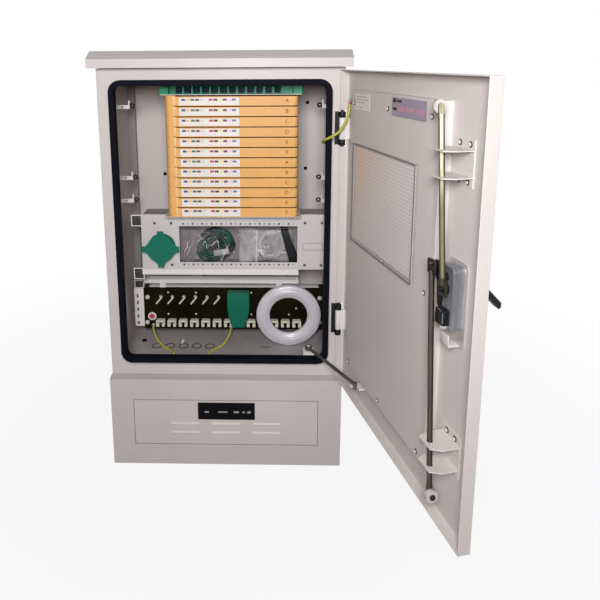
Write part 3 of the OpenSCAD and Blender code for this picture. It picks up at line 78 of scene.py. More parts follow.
print("nodes:", len(nodes), "box:", [round(x, 3) for x in cad_high - cad_low])

# %% [markdown]
# The photograph was taken from a little above the roof, with the door swung wide.
# A camera can be placed by eye, but a fit to the cabinet's edges is surer: it gave
# the place, the three turns and the off-centre frame that are written here.

# %% Camera from the fit
CAMERA_PLACE = Vector((0.11497, -1.5196, 1.0209))
YAW, PITCH, ROLL = (math.radians(a) for a in (-1.707, -10.974, -0.401))
FOCAL_PX, MIDDLE_PX, FRAME_PX = 592.97, (253.44, 174.94), 600.0

ahead = Vector((math.sin(YAW) * math.cos(PITCH), math.cos(YAW) * math.cos(PITCH), math.sin(PITCH)))
level = ahead.cross(Vector((0, 0, 1))).normalized()
over = level.cross(ahead)
right = level * math.cos(ROLL) + over * math.sin(ROLL)
upward = over * math.cos(ROLL) - level * math.sin(ROLL)

lens = bpy.data.cameras.new("photo_lens")
lens.sensor_width = 36.0
lens.lens = FOCAL_PX / FRAME_PX * lens.sensor_width
lens.shift_x = (FRAME_PX / 2 - MIDDLE_PX[0]) / FRAME_PX
lens.shift_y = (MIDDLE_PX[1] - FRAME_PX / 2) / FRAME_PX
camera = bpy.data.objects.new("photo_camera", lens)
bpy.context.scene.collection.objects.link(camera)
camera.matrix_world = Matrix.Translation(CAMERA_PLACE) @ Matrix((right, upward, -ahead)).transposed().to_4x4()
bpy.context.scene.camera = camera
print("lens", round(lens.lens, 2), "shift", round(lens.shift_x, 4), round(lens.shift_y, 4))

# %% [markdown]
# Parts of the open door are easiest to place as if it were shut, with x across and
# z up. One matrix then swings them to where the door stands. It comes from the
# packed hinge, so a change of the hinge moves the dressing too.

# %% Places on the door
hinge = next(j for j in frame["joints"] if j["name"] == "door_hinge")
hinge_at = Vector(hinge["pos_m"])
OPEN = (Matrix.Translation(hinge_at)
        @ Matrix.Rotation(math.radians(-hinge["range_deg"][0]), 4, "Z")
        @ Matrix.Translation(-hinge_at))
SHUT = OPEN.inverted()
HERE = Matrix.Identity(4)


def closed_box(node):
    """Lowest and highest corner of a door node with the door shut."""
    places = [SHUT @ v.co for v in nodes[node].data.vertices]
    return (Vector(map(min, *places)), Vector(map(max, *places)))


pan_low, pan_high = closed_box("door_inner_panel")
print("inner panel when shut:", [round(x, 3) for x in pan_low], [round(x, 3) for x in pan_high])

# %% [markdown]
# Every finish here is a coat or a moulding with faint clouds of tone, a fine grain
# and a roughness that wanders. One node group makes all three from the object's own
# coordinates, and each material sets its own colours and scales.

# %% Node group for coats and mouldings
coat = bpy.data.node_groups.new("coat_surface", "ShaderNodeTree")
for socket, kind in (("Colour", "NodeSocketColor"), ("Stain", "NodeSocketColor"),
                     ("Stain Amount", "NodeSocketFloat"), ("Cloud Scale", "NodeSocketFloat"),
                     ("Grain Scale", "NodeSocketFloat"), ("Rough Low", "NodeSocketFloat"),
                     ("Rough High", "NodeSocketFloat"), ("Stretch", "NodeSocketVector")):
    coat.interface.new_socket(socket, in_out="INPUT", socket_type=kind)
for socket, kind in (("Colour", "NodeSocketColor"), ("Roughness", "NodeSocketFloat"),
                     ("Height", "NodeSocketFloat")):
    coat.interface.new_socket(socket, in_out="OUTPUT", socket_type=kind)


def node(tree, kind, **values):
    """A shader node with its settings and unlinked inputs filled in."""
    made = tree.nodes.new("ShaderNode" + kind)
    for key, value in values.items():
        if key in made.inputs:
            made.inputs[key].default_value = value
        else:
            setattr(made, key, value)
    return made


given, given_out = coat.nodes.new("NodeGroupInput"), coat.nodes.new("NodeGroupOutput")
where = node(coat, "TexCoord")
drawn = node(coat, "VectorMath", operation="MULTIPLY")
clouds = node(coat, "TexNoise", Detail=5.0, Roughness=0.6)
grain = node(coat, "TexNoise", Detail=2.0, Roughness=0.5)
patch = node(coat, "MapRange")
patch.inputs["From Min"].default_value, patch.inputs["From Max"].default_value = 0.42, 0.72
share = node(coat, "Math", operation="MULTIPLY")
speck = node(coat, "MapRange")
speck.inputs["To Min"].default_value, speck.inputs["To Max"].default_value = 0.94, 1.05
tint = node(coat, "Mix", data_type="RGBA")
tone = node(coat, "Mix", data_type="RGBA", blend_type="MULTIPLY")
tone.inputs[0].default_value = 1.0
rough = node(coat, "MapRange")
for a, b in ((where.outputs["Object"], drawn.inputs[0]),
             (given.outputs["Stretch"], drawn.inputs[1]),
             (drawn.outputs[0], clouds.inputs["Vector"]),
             (drawn.outputs[0], grain.inputs["Vector"]),
             (given.outputs["Cloud Scale"], clouds.inputs["Scale"]),
             (given.outputs["Grain Scale"], grain.inputs["Scale"]),
             (clouds.outputs["Fac"], patch.inputs["Value"]),
             (patch.outputs["Result"], share.inputs[0]),
             (given.outputs["Stain Amount"], share.inputs[1]),
             (share.outputs[0], tint.inputs[0]),
             (given.outputs["Colour"], tint.inputs[6]),
             (given.outputs["Stain"], tint.inputs[7]),
             (grain.outputs["Fac"], speck.inputs["Value"]),
             (tint.outputs[2], tone.inputs[6]),
             (speck.outputs["Result"], tone.inputs[7]),
             (tone.outputs[2], given_out.inputs["Colour"]),
             (clouds.outputs["Fac"], rough.inputs["Value"]),
             (given.outputs["Rough Low"], rough.inputs["To Min"]),
             (given.outputs["Rough High"], rough.inputs["To Max"]),
             (rough.outputs["Result"], given_out.inputs["Roughness"]),
             (grain.outputs["Fac"], given_out.inputs["Height"])):
    coat.links.new(a, b)
print("group", coat.name, "with", len(coat.nodes), "nodes")

# %% [markdown]
# A finish is then the group, a bump and a Principled shader. Numbers that are the
# same all over, such as metal or coat, sit on the shader itself. The rods' pattern is
# stretched along their length into dark streaks: partly the passivate's own, partly painted reflection.


# %% Make a finish
def finish(name, colour, stain=None, amount=0.35, clouds_at=9.0, grain_at=900.0,
           rough=(0.4, 0.6), bump=0.05, depth=0.0004, metal=0.0, gloss=0.0, alpha=1.0,
           shine=0.5, stretch=(1.0, 1.0, 1.0)):
    """A material with clouded colour, wandering roughness and a fine grain."""
    made = bpy.data.materials.new(name)
    made.use_nodes = True
    tree = made.node_tree
    shader = tree.nodes["Principled BSDF"]
    group = tree.nodes.new("ShaderNodeGroup")
    group.node_tree = coat
    group.inputs["Colour"].default_value = (*colour, 1.0)
    group.inputs["Stain"].default_value = (*(stain or [c * 0.8 for c in colour]), 1.0)
    group.inputs["Stain Amount"].default_value = amount
    group.inputs["Cloud Scale"].default_value = clouds_at
    group.inputs["Grain Scale"].default_value = grain_at
    group.inputs["Rough Low"].default_value, group.inputs["Rough High"].default_value = rough
    group.inputs["Stretch"].default_value = stretch
    raised = node(tree, "Bump", Strength=bump, Distance=depth)
    tree.links.new(group.outputs["Height"], raised.inputs["Height"])
    tree.links.new(group.outputs["Colour"], shader.inputs["Base Color"])
    tree.links.new(group.outputs["Roughness"], shader.inputs["Roughness"])
    tree.links.new(raised.outputs["Normal"], shader.inputs["Normal"])
    shader.inputs["Metallic"].default_value = metal
    shader.inputs["Coat Weight"].default_value = gloss
    shader.inputs["Alpha"].default_value = alpha
    shader.inputs["Specular IOR Level"].default_value = shine
    return made


def climb(made, value, low, high, ends):
    """A factor that runs from one end to the other while a value goes from low to high."""
    ranged = node(made.node_tree, "MapRange")
    for key, number in zip(("From Min", "From Max", "To Min", "To Max"), (low, high, *ends)):
        ranged.inputs[key].default_value = number
    made.node_tree.links.new(value, ranged.inputs["Value"])
    return ranged.outputs["Result"]


def rising(made, axis, low, high, ends=(0.0, 1.0)):
    """A factor that climbs along a direction of the object."""
    tree = made.node_tree
    spot, run = node(tree, "TexCoord"), node(tree, "VectorMath", operation="DOT_PRODUCT")
    run.inputs[1].default_value = axis
    tree.links.new(spot.outputs["Object"], run.inputs[0])
    return climb(made, run.outputs["Value"], low, high, ends)


def turned(made, low, high, ends=(0.0, 1.0)):
    """A factor that climbs where the surface turns away from the eye, for painted shade on edges."""
    return climb(made, node(made.node_tree, "LayerWeight", Blend=0.5).outputs["Facing"], low, high, ends)


def over(made, colour, factor, blend="MIX"):
    """Lays a colour over a finish as far as the factor goes."""
    tree = made.node_tree
    base = tree.nodes["Principled BSDF"].inputs["Base Color"]
    lay = node(tree, "Mix", data_type="RGBA", blend_type=blend)
    lay.inputs[7].default_value = (*colour, 1.0)
    for a, b in ((factor, lay.inputs[0]), (base.links[0].from_socket, lay.inputs[6]), (lay.outputs[2], base)):
        tree.links.new(a, b)


FINISH = {
    "cabinet_paint": finish("warm_grey_powder_coat", (0.645, 0.588, 0.572), amount=0.22, rough=(0.38, 0.52),
                            shine=0.4),
    "inner_paint": finish("inner_grey_powder_coat", (0.63, 0.585, 0.575), amount=0.25, rough=(0.4, 0.55),
                          shine=0.35),
    "white_paint": finish("white_powder_coat", (0.80, 0.765, 0.75), amount=0.25, rough=(0.35, 0.5)),
    "olive_paint": finish("olive_black_paint", (0.006, 0.005, 0.002), (0.020, 0.019, 0.003), amount=0.7,
                          clouds_at=14.0, rough=(0.3, 0.45), shine=0.06),
    "black_paint": finish("black_coat", (0.006, 0.006, 0.007), (0.018, 0.018, 0.02), amount=0.4,
                          clouds_at=30.0, rough=(0.35, 0.5), shine=0.2),
    "gasket_rubber": finish("black_rubber", (0.002, 0.002, 0.006), (0.006, 0.006, 0.012), amount=0.5,
                            clouds_at=25.0, rough=(0.5, 0.7), bump=0.2, shine=0.06),
    # Dark lengthwise streaks: partly the passivate's own, partly painted reflection.
    "zinc_steel": finish("yellow_zinc", (0.62, 0.58, 0.47), (0.09, 0.075, 0.035), amount=1.0, clouds_at=210.0,
                         rough=(0.3, 0.45), metal=0.25, bump=0.08, stretch=(1.0, 1.0, 0.03)),
    "bright_steel": finish("plain_zinc", (0.58, 0.58, 0.57), (0.42, 0.42, 0.43), amount=0.6, clouds_at=60.0,
                           rough=(0.25, 0.45), metal=0.9),
    "lock_zinc": finish("grey_blue_casting", (0.23, 0.24, 0.255), (0.10, 0.105, 0.115), amount=0.8,
                        clouds_at=70.0, rough=(0.25, 0.4), metal=0.6, stretch=(1.0, 1.0, 0.15)),
    "dark_steel": finish("dark_zinc", (0.09, 0.085, 0.075), (0.16, 0.15, 0.13), amount=0.6, clouds_at=50.0,
                         rough=(0.35, 0.55), metal=0.6),
    "tray_plastic": finish("orange_moulding", (0.80, 0.425, 0.135), (0.70, 0.345, 0.09), amount=0.35,
                           clouds_at=12.0, rough=(0.35, 0.5), shine=0.35),
    "green_plastic": finish("green_moulding", (0.009, 0.155, 0.097), (0.004, 0.10, 0.06), amount=0.4,
                            clouds_at=18.0, rough=(0.35, 0.5), shine=0.18),
    "adapter_plastic": finish("blue_black_moulding", (0.004, 0.030, 0.050), (0.002, 0.006, 0.014), amount=0.6,
                              clouds_at=60.0, rough=(0.3, 0.45), shine=0.08),
    "cream_plastic": finish("cream_moulding", (0.74, 0.70, 0.58), (0.62, 0.57, 0.45), amount=0.4,
                            clouds_at=40.0, rough=(0.4, 0.55)),
    "white_plastic": finish("white_moulding", (0.78, 0.77, 0.75), amount=0.3, clouds_at=40.0, rough=(0.4, 0.55)),
    "tube_plastic": finish("milky_tube", (0.64, 0.61, 0.66), (0.54, 0.515, 0.565), amount=0.5, clouds_at=22.0,
                           rough=(0.22, 0.38), gloss=0.3),
    "film_plastic": finish("clear_film", (0.62, 0.60, 0.61), amount=0.2, rough=(0.2, 0.35), alpha=0.3, shine=0.2),
    "clear_plastic": finish("clear_sheet", (0.78, 0.76, 0.74), amount=0.2, rough=(0.1, 0.22), alpha=0.12, shine=0.3),
    "earth_sleeve": finish("yellow_green_sleeve", (0.50, 0.46, 0.045), (0.26, 0.36, 0.05), amount=0.8,
                           clouds_at=45.0, rough=(0.35, 0.5)),
    "nylon": finish("natural_nylon", (0.60, 0.56, 0.54), (0.5, 0.46, 0.44), amount=0.5, clouds_at=60.0,
                    rough=(0.35, 0.5)),
}
for part in frame["record"]["subparts"]:
    owner = nodes[part["node"]]
    owner.data.materials.clear()
    owner.data.materials.append(FINISH[part["material_slot"]])
nodes["adapter_frame"].data.materials[0] = finish("bright_green_moulding", (0.025, 0.31, 0.17), (0.01, 0.19, 0.11),
                                                  amount=0.4, clouds_at=30.0, rough=(0.3, 0.45), shine=0.3)
UP = (0.0, 0.0, 1.0)
# Dark lengthwise streaks on the rods: partly the passivate's own, partly painted reflection.
rod_zinc = finish("bronze_zinc_painted_shade", (0.68, 0.64, 0.50), (0.30, 0.26, 0.14), amount=1.0, clouds_at=210.0, rough=(0.3, 0.45),
                  metal=0.2, stretch=(1.0, 1.0, 0.03))
rod_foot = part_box("upper_rod")[0].z
# The upper rod is darker below 0.80 to 0.86 m and near black on its lowest 3 cm, and painted shade darkens its edges
# where the surface turns from the eye.
over(rod_zinc, (0.13, 0.115, 0.065), rising(rod_zinc, UP, 0.80, 0.86, (0.9, 0.0)))
over(rod_zinc, (0.05, 0.045, 0.02), turned(rod_zinc, 0.06, 0.3))
over(rod_zinc, (0.02, 0.017, 0.006), rising(rod_zinc, UP, rod_foot + 0.028, rod_foot + 0.032, (0.9, 0.0)))
nodes["upper_rod"].data.materials[0] = rod_zinc
rod_brown = finish("brown_zinc_painted_shade", (0.085, 0.06, 0.042), (0.025, 0.022, 0.015), amount=1.0, clouds_at=210.0,
                   rough=(0.3, 0.45), metal=0.3, stretch=(1.0, 1.0, 0.03))
# Painted shade darkens the lower rod's edges, where the surface turns from the eye.
over(rod_brown, (0.012, 0.008, 0.006), turned(rod_brown, 0.1, 0.4))
nodes["lower_rod"].data.materials[0] = rod_brown
nylon = finish("roller_nylon_painted_shade", (0.56, 0.52, 0.51), (0.48, 0.44, 0.43), amount=0.5, clouds_at=60.0, rough=(0.35, 0.5))
# Painted shade darkens the rollers' rims, where the surface turns from the eye.
over(nylon, (0.14, 0.13, 0.13), turned(nylon, 0.4, 0.75))
casting = finish("grey_blue_casting", (0.33, 0.34, 0.36), (0.12, 0.13, 0.15), amount=0.8, clouds_at=70.0,
                 rough=(0.25, 0.4), metal=0.5, stretch=(1.0, 1.0, 0.15))
skin_y, inward = closed_box("rod_guides")[0].y, Vector(SHUT[1][:3])
seat_y = skin_y + 0.00225 - SHUT[1][3]
over(casting, (0.56, 0.52, 0.51), rising(casting, inward, seat_y - 0.0001, seat_y + 0.0001, (1.0, 0.0)))
over(casting, (0.02, 0.02, 0.022), rising(casting, inward, seat_y - 0.007, seat_y - 0.0065, (1.0, 0.0)))
# The floor's coat is painted darker than the walls as painted shade, and its clouds stand for wear.
floor_wear_and_shade_coat = finish("floor_coat_wear_and_painted_shade", (0.42, 0.385, 0.38), (0.30, 0.27, 0.27), amount=0.6, clouds_at=14.0, rough=(0.4, 0.6),
              shine=0.3)
channel = finish("channel_coat_painted_shade", (0.60, 0.555, 0.545), amount=0.25, rough=(0.4, 0.55), shine=0.35)
# Painted shade: the corner channel on the left, below x = -0.05 m, is painted darker.
over(channel, (0.235, 0.215, 0.22), rising(channel, (1.0, 0.0, 0.0), -0.05, 0.05, (0.9, 0.0)))
# Painted shade: the storage box is painted dark for the shade inside it.
box_shade_coat = finish("box_coat_painted_shade", (0.33, 0.295, 0.30), (0.22, 0.195, 0.20), amount=0.6, clouds_at=24.0, rough=(0.4, 0.55),
             shine=0.3)
for name, coat_of in (("upper_roller", nylon), ("floor_plate", floor_wear_and_shade_coat), ("lower_roller", nylon), ("lock_case", casting),
                      ("stay_bracket", FINISH["white_paint"]), ("stay_door_tab", FINISH["white_paint"]),
                      ("corner_channels", channel), ("storage_box", box_shade_coat)):
    nodes[name].data.materials[0] = coat_of

# The plinth's coat is a little darker than the cabinet's, and darker again in its top 9 mm.
plinth_top_band_coat = finish("plinth_powder_coat", (0.63, 0.572, 0.556), amount=0.3, rough=(0.4, 0.55), shine=0.35)
ledge_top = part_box("plinth_frame")[1].z
over(plinth_top_band_coat, (0.66, 0.65, 0.66), rising(plinth_top_band_coat, UP, ledge_top - 0.0105, ledge_top - 0.009, (0.0, 0.9)), "MULTIPLY")
nodes["plinth_frame"].data.materials[0] = plinth_top_band_coat
print("finishes:", len(FINISH))

# %% [markdown]
# Folded sheet and moulded plastic never have a perfectly sharp edge, and a rounded
# edge is what catches the light. The solids stay as they are: a Weld joins their
# loose triangles and a small Bevel rounds only the edges that turn sharply.


# %% Round the edges of the solids
def soften(names, width, segments=2):
    for name in names:
        weld = nodes[name].modifiers.new("join", "WELD")
        weld.merge_threshold = 1e-6
        edge = nodes[name].modifiers.new("round_edge", "BEVEL")
        edge.width, edge.segments, edge.limit_method = width * MM, segments, "ANGLE"
        edge.angle_limit = math.radians(40)
        edge.profile, edge.harden_normals = 0.5, True


TRAYS = ["splice_tray_%02d" % i for i in range(1, 13)]
soften(["roof_cap", "plinth_frame", "plinth_cover", "front_frame", "left_side_panel", "right_side_panel",
        "back_panel", "door_inner_panel", "storage_panel", "cross_rail", "cable_rail", "tray_rack",
        "clamp_panel", "clamp_brackets", "rod_guides", "cable_clamps", "cable_guides", "hinge_door_leaves",
        "stay_door_tab", "stay_bracket"], 0.5)
soften(["door_shell"], 0.7)
soften(TRAYS, 0.3)
soften(["cable_hooks", "slack_spool", "adapter_frame", "swing_handle", "lock_case", "lock_cam",
                "hinge_frame_leaves"], 0.7)
soften(["fibre_adapters"], 0.3)
soften(["cable_sleeve"], 1.5, 3)
soften(["door_gasket"], 3.5, 4)
print("softened", sum(bool(n.modifiers) for n in nodes.values()), "nodes")

# %% [markdown]
# Small pieces are built in bmesh. A piece may hold many small shapes, so the helpers
# add one shape at a time to a bmesh, and one call turns it into an object that rides
# on a body. Blocks get bevelled edges and screws are spun from half a profile.


# %% Helpers for small pieces
def add_block(bm, low, high, place=HERE, bevel=0.0, segments=2, paint=0):
    """A box between two corners, with its edges bevelled, moved by a matrix."""
    low, high = Vector(low), Vector(high)
    size = Matrix.Diagonal((*(high - low), 1.0))
    made = bmesh.ops.create_cube(bm, size=1.0, matrix=place @ Matrix.Translation((low + high) / 2) @ size)
    faces = {f for v in made["verts"] for f in v.link_faces}
    for face in faces:
        face.material_index = paint
    if bevel:
        edges = {e for f in faces for e in f.edges}
        bmesh.ops.bevel(bm, geom=list(edges), offset=bevel, segments=segments, profile=0.5,
                        affect="EDGES", material=-1, clamp_overlap=True)


def add_spun(bm, profile, place, steps=20, paint=0):
    """A half profile of (radius, height), spun round the place's own Z axis."""
    points = [bm.verts.new(place @ Vector((r, 0.0, h))) for r, h in profile]
    lines = [bm.edges.new(pair) for pair in zip(points, points[1:])]
    made = bmesh.ops.spin(bm, geom=points + lines, cent=place.translation,
                          axis=place.to_3x3() @ Vector((0, 0, 1)), angle=2 * math.pi, steps=steps,
                          use_merge=True)
    faces = {f for v in points for f in v.link_faces}
    grown = set()
    while grown != faces:
        grown = set(faces)
        faces |= {f for g in grown for e in g.edges for f in e.link_faces}
    verts = list({v for f in faces for v in f.verts})
    for face in faces:
        face.material_index = paint
    bmesh.ops.recalc_face_normals(bm, faces=list(faces))
    bmesh.ops.remove_doubles(bm, verts=verts, dist=1e-6)


def add_frame(bm, low, high, rim):
    """A flat square frame that faces along Y: a plate, inset on both faces and cut through."""
    add_block(bm, low, high)
    for side in (-1, 1):
        face = max((f for f in bm.faces if f.normal.y * side > 0.9), key=lambda f: f.calc_area())
        bmesh.ops.inset_region(bm, faces=[face], thickness=rim)
    inner = [f for f in bm.faces if abs(f.normal.y) > 0.9 and all(low[0] + rim / 2 < v.co.x < high[0] - rim / 2 for v in f.verts)]
    rims = [e for f in inner for e in f.edges]
    bmesh.ops.delete(bm, geom=inner, context="FACES_ONLY")
    bmesh.ops.bridge_loops(bm, edges=rims)
    bmesh.ops.recalc_face_normals(bm, faces=bm.faces)
    bmesh.ops.bevel(bm, geom=[e for e in bm.edges if e.calc_face_angle(0.0) > 0.8], offset=0.0002, segments=2,
                    profile=0.5, affect="EDGES", material=-1)


def piece(name, bm, finishes, body, smooth=0.6):
    """Turns a bmesh into an object that rides on a body."""
    mesh = bpy.data.meshes.new(name)
    bm.to_mesh(mesh)
    bm.free()
    for made in finishes if isinstance(finishes, (list, tuple)) else [finishes]:
        mesh.materials.append(made)
    made = bpy.data.objects.new(name, mesh)
    bpy.context.scene.collection.objects.link(made)
    if smooth:
        for face in mesh.polygons:
            face.use_smooth = True
        mesh.set_sharp_from_angle(angle=smooth)
    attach(made, body)
    return made


FRONT = Matrix.Rotation(math.radians(90), 4, "X")
DOOR_EDGE = closed_box("door_shell")[1].x / MM


def facing_front(x, y, z):
    """A place whose Z axis points out of the cabinet's front."""
    return Matrix.Translation((x * MM, y * MM, z * MM)) @ FRONT


def facing_door(along, y, z):
    """A place on the open door, given across from its hinge edge, whose Z axis points inwards."""
    spot = Matrix.Translation(((DOOR_EDGE - along) * MM, y * MM, z * MM))
    return OPEN @ spot @ Matrix.Rotation(math.radians(-90), 4, "X")


def pan_head(radius, height):
    """Half profile of a pan-head screw with a sunk cross, from the seat to the middle."""
    return [(radius, 0.0), (radius, height * 0.45), (radius * 0.8, height * 0.85), (radius * 0.42, height),
            (radius * 0.3, height * 0.55), (0.0, height * 0.5)]


print("helpers ready")

# %% [markdown]
# The earth strap and the two earth wires are free cords. Each follows the points that
# the solid model uses, smoothed by a curve and given a round section, then turned into a mesh.

# %% Earth strap and earth wires
WIRE_R = 2.9 * MM
STRAP = [(283.2, -128, 832), (272, -127, 830), (262, -127, 829), (252, -131, 829), (243, -139, 830),
         (237, -150, 832), (235, -162, 835), (235, -174, 839), (237, -186, 843), (243, -195, 847),
         (252, -200, 852), (262, -199, 858), (271, -196, 866), (278, -192, 875), (284, -188, 885),
         (288, -184.5, 897), (290.5, -181.5, 909), (292.3, -178.4, 920), (293.7, -175.6, 930)]
WIRE_A = [(-216, 34.7, 288), (-215.5, 26, 286), (-213, 17, 281.5), (-208.5, 8, 275), (-202, -1, 268),
          (-194, -10, 261), (-185, -18, 255.5), (-175.5, -25, 252), (-166, -31, 250.4), (-157, -38, 250.2),
          (-150, -47, 250.2), (-145, -58, 250.2)]
WIRE_B = [(3, 34.7, 284), (2.5, 25, 282), (1, 15, 277), (-2, 6, 270.5), (-6.5, -2, 264), (-12.5, -10, 258),
          (-19.5, -17, 254), (-27, -23, 251.5), (-34.5, -29, 250.4), (-42, -36, 250.2), (-48, -45, 250.2),
          (-52, -56, 250.2)]


def cord_piece(name, route):
    """A round mesh tube along a route, and the length of its middle line."""
    line = bpy.data.curves.new(name, "CURVE")
    line.dimensions = "3D"
    line.bevel_depth, line.bevel_resolution, line.use_fill_caps = WIRE_R, 4, True
    spline = line.splines.new("POLY")
    points = [Vector(p) * MM for p in route]
    fine = [points[0]]
    for i in range(len(points) - 1):
        a, b = points[max(i - 1, 0)], points[min(i + 2, len(points) - 1)]
        for k in (1, 2, 3):
            t = k / 3
            p, q = points[i], points[i + 1]
            m, n = (q - a) / 2, (b - p) / 2
            fine.append(p * (2 * t**3 - 3 * t**2 + 1) + m * (t**3 - 2 * t**2 + t)
                        + q * (3 * t**2 - 2 * t**3) + n * (t**3 - t**2))
    spline.points.add(len(fine) - 1)
    for point, place in zip(spline.points, fine):
        point.co = (*place, 1.0)
    shaped = bpy.data.objects.new(name + "_line", line)
    bpy.context.scene.collection.objects.link(shaped)
    mesh = bpy.data.meshes.new_from_object(shaped.evaluated_get(bpy.context.evaluated_depsgraph_get()))
    bpy.data.objects.remove(shaped)
    made = bpy.data.objects.new(name, mesh)
    bpy.context.scene.collection.objects.link(made)
    mesh.materials.clear()
    mesh.materials.append(FINISH["earth_sleeve"])
    return made, fine, sum((q - p).length for p, q in zip(fine, fine[1:]))


strap, line, long = cord_piece("earth_strap", STRAP)
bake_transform(strap)
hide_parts("door_earth_strap")
print("strap", round(long, 3))
for name, route in (("earth_wire_left", WIRE_A), ("earth_wire_middle", WIRE_B)):
    wire, line, long = cord_piece(name, route)
    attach(wire, "cabinet")
    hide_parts("earth_wires")
    print(name, round(long, 3))

# %% [markdown]
# Each swing tray has a printed strip in a shallow recess: twelve small fields in the
# usual colour code for fibres, on white. A strip could be a stack of small coloured
# plates, but it is print, so one material draws all fields from the tray's own x and
# z: a colour ramp with hard steps, shown only in a band of the strip's height.

# %% Print on the tray strips
FIBRES = [(0.03, 0.045, 0.20), (0.82, 0.52, 0.20), (0.04, 0.14, 0.045), (0.15, 0.05, 0.03), (0.62, 0.60, 0.56),
          (0.78, 0.74, 0.71), (0.46, 0.035, 0.045), (0.035, 0.028, 0.015), (0.82, 0.70, 0.26),
          (0.15, 0.015, 0.04), (0.80, 0.56, 0.66), (0.10, 0.18, 0.42)]
STRIP_WHITE = (0.82, 0.765, 0.735)
STRIP_X, FIELD_FROM, FIELD_STEP, FIELD_WIDE = (-105.5, 39.5), -100.2, 11.1, 9.6
tray_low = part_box("splice_tray_12")[0].z / MM
tray_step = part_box("splice_tray_11")[0].z / MM - tray_low

printed = finish("strip_print", STRIP_WHITE, rough=(0.45, 0.6))
tree = printed.node_tree
spot = node(tree, "TexCoord")
axes = node(tree, "SeparateXYZ")
tree.links.new(spot.outputs["Object"], axes.inputs[0])
along = node(tree, "MapRange")
for name, value in (("From Min", STRIP_X[0] * MM), ("From Max", STRIP_X[1] * MM)):
    along.inputs[name].default_value = value
tree.links.new(axes.outputs["X"], along.inputs["Value"])
ramp = node(tree, "ValToRGB")
ramp.color_ramp.interpolation = "CONSTANT"
steps = ramp.color_ramp.elements
steps[0].color = (*STRIP_WHITE, 1.0)
steps.remove(steps[1])
for i, colour in enumerate(FIBRES):
    start = FIELD_FROM + i * FIELD_STEP
    for edge, tint in ((start, colour), (start + FIELD_WIDE, STRIP_WHITE)):
        steps.new((edge - STRIP_X[0]) / (STRIP_X[1] - STRIP_X[0])).color = (*tint, 1.0)
tree.links.new(along.outputs["Result"], ramp.inputs["Fac"])
height = node(tree, "Math", operation="SUBTRACT")
height.inputs[1].default_value = tray_low * MM
tree.links.new(axes.outputs["Z"], height.inputs[0])
level = node(tree, "Math", operation="FLOORED_MODULO")
level.inputs[1].default_value = tray_step * MM
tree.links.new(height.outputs[0], level.inputs[0])
band = node(tree, "Math", operation="COMPARE")
band.inputs[1].default_value, band.inputs[2].default_value = 14.6 * MM, 2.6 * MM
tree.links.new(level.outputs[0], band.inputs[0])
inked = node(tree, "Mix", data_type="RGBA")
tree.links.new(band.outputs[0], inked.inputs[0])
shaded = tree.nodes["Principled BSDF"].inputs["Base Color"]
tree.links.new(shaded.links[0].from_socket, inked.inputs[6])
tree.links.new(ramp.outputs["Color"], inked.inputs[7])
tree.links.new(inked.outputs[2], shaded)
print("strip fields:", len(FIBRES), "tray step", round(tray_step, 2))

# %% [markdown]
# The strip itself is a thin card. Beside it every tray carries one plain letter, A to
# F and again A to F, as an index. The letter is set as text, made a mesh, and moved to
# the tray's front, so it swings out with its tray. A rounded rib closes the left end, painted a lighter orange than the
# tray as a painted highlight.

# %% Strips and index letters
tray_rib_highlight_coat = finish("orange_rib_painted_highlight", (0.90, 0.54, 0.22), amount=0.3, clouds_at=12.0, rough=(0.3, 0.45))
ink = finish("brown_ink", (0.12, 0.045, 0.015), amount=0.3, rough=(0.5, 0.65), shine=0.1)


def letter_mesh(letter, size):
    """A flat, filled letter as a mesh, centred on the origin."""
    text = bpy.data.curves.new("letter", "FONT")
    text.body, text.size, text.align_x, text.align_y = letter, size, "CENTER", "CENTER"
    text.resolution_u = 3
    shown = bpy.data.objects.new("letter", text)
    bpy.context.scene.collection.objects.link(shown)
    mesh = bpy.data.meshes.new_from_object(shown.evaluated_get(bpy.context.evaluated_depsgraph_get()))
    bpy.data.objects.remove(shown)
    return mesh


for i, name in enumerate(TRAYS):
    low, high = (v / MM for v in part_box(name))
    bm = bmesh.new()
    add_block(bm, (STRIP_X[0] * MM, (low.y - 0.1) * MM, (low.z + 1.6) * MM),
              (STRIP_X[1] * MM, (low.y + 0.55) * MM, (low.z + 20.2) * MM), bevel=0.0002, segments=1)
    # The rib takes the third finish, a lighter orange than the tray: a painted highlight.
    add_block(bm, (-121.0 * MM, (low.y - 1.6) * MM, (low.z + 1.0) * MM),
              (-114.5 * MM, (low.y + 0.3) * MM, (high.z - 1.0) * MM), bevel=0.0014, segments=3, paint=2)
    card_faces = set(bm.faces)
    letter = letter_mesh("ABCDEF"[i % 6], 13.0 * MM)
    letter.transform(facing_front(154, low.y - 0.08, low.z + 11.5))
    bm.from_mesh(letter)
    letter_faces = [f for f in bm.faces if f not in card_faces]
    for face in letter_faces:
        face.material_index = 1
    bmesh.ops.solidify(bm, geom=letter_faces, thickness=0.0002)
    piece("strip_" + name[-2:], bm, [printed, ink, tray_rib_highlight_coat], "swing_tray_" + name[-2:])
print("strips:", len(TRAYS))

# %% [markdown]
# Screws and bolts hold the panels. Each is a half profile spun round its axis, with a
# sunk cross in the head. All of one kind on one body are kept in a single piece.

# %% Screws and bolts
SCREW_STEEL = FINISH["bright_steel"]
storage_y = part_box("storage_panel")[0].y / MM
clamp_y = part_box("clamp_panel")[0].y / MM
floor_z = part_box("floor_plate")[1].z / MM

dull = finish("dull_screw", (0.07, 0.066, 0.066), (0.20, 0.19, 0.19), amount=0.6, clouds_at=120.0,
              rough=(0.35, 0.5), metal=0.6)
bm = bmesh.new()
for x, z in ((-184, 611), (-141, 611), (-142, 499), (202, 612), (245, 612), (202, 499), (244, 499)):
    add_spun(bm, pan_head(3.6 * MM, 1.8 * MM), facing_front(x, storage_y, z))
piece("storage_screws", bm, dull, "cabinet")

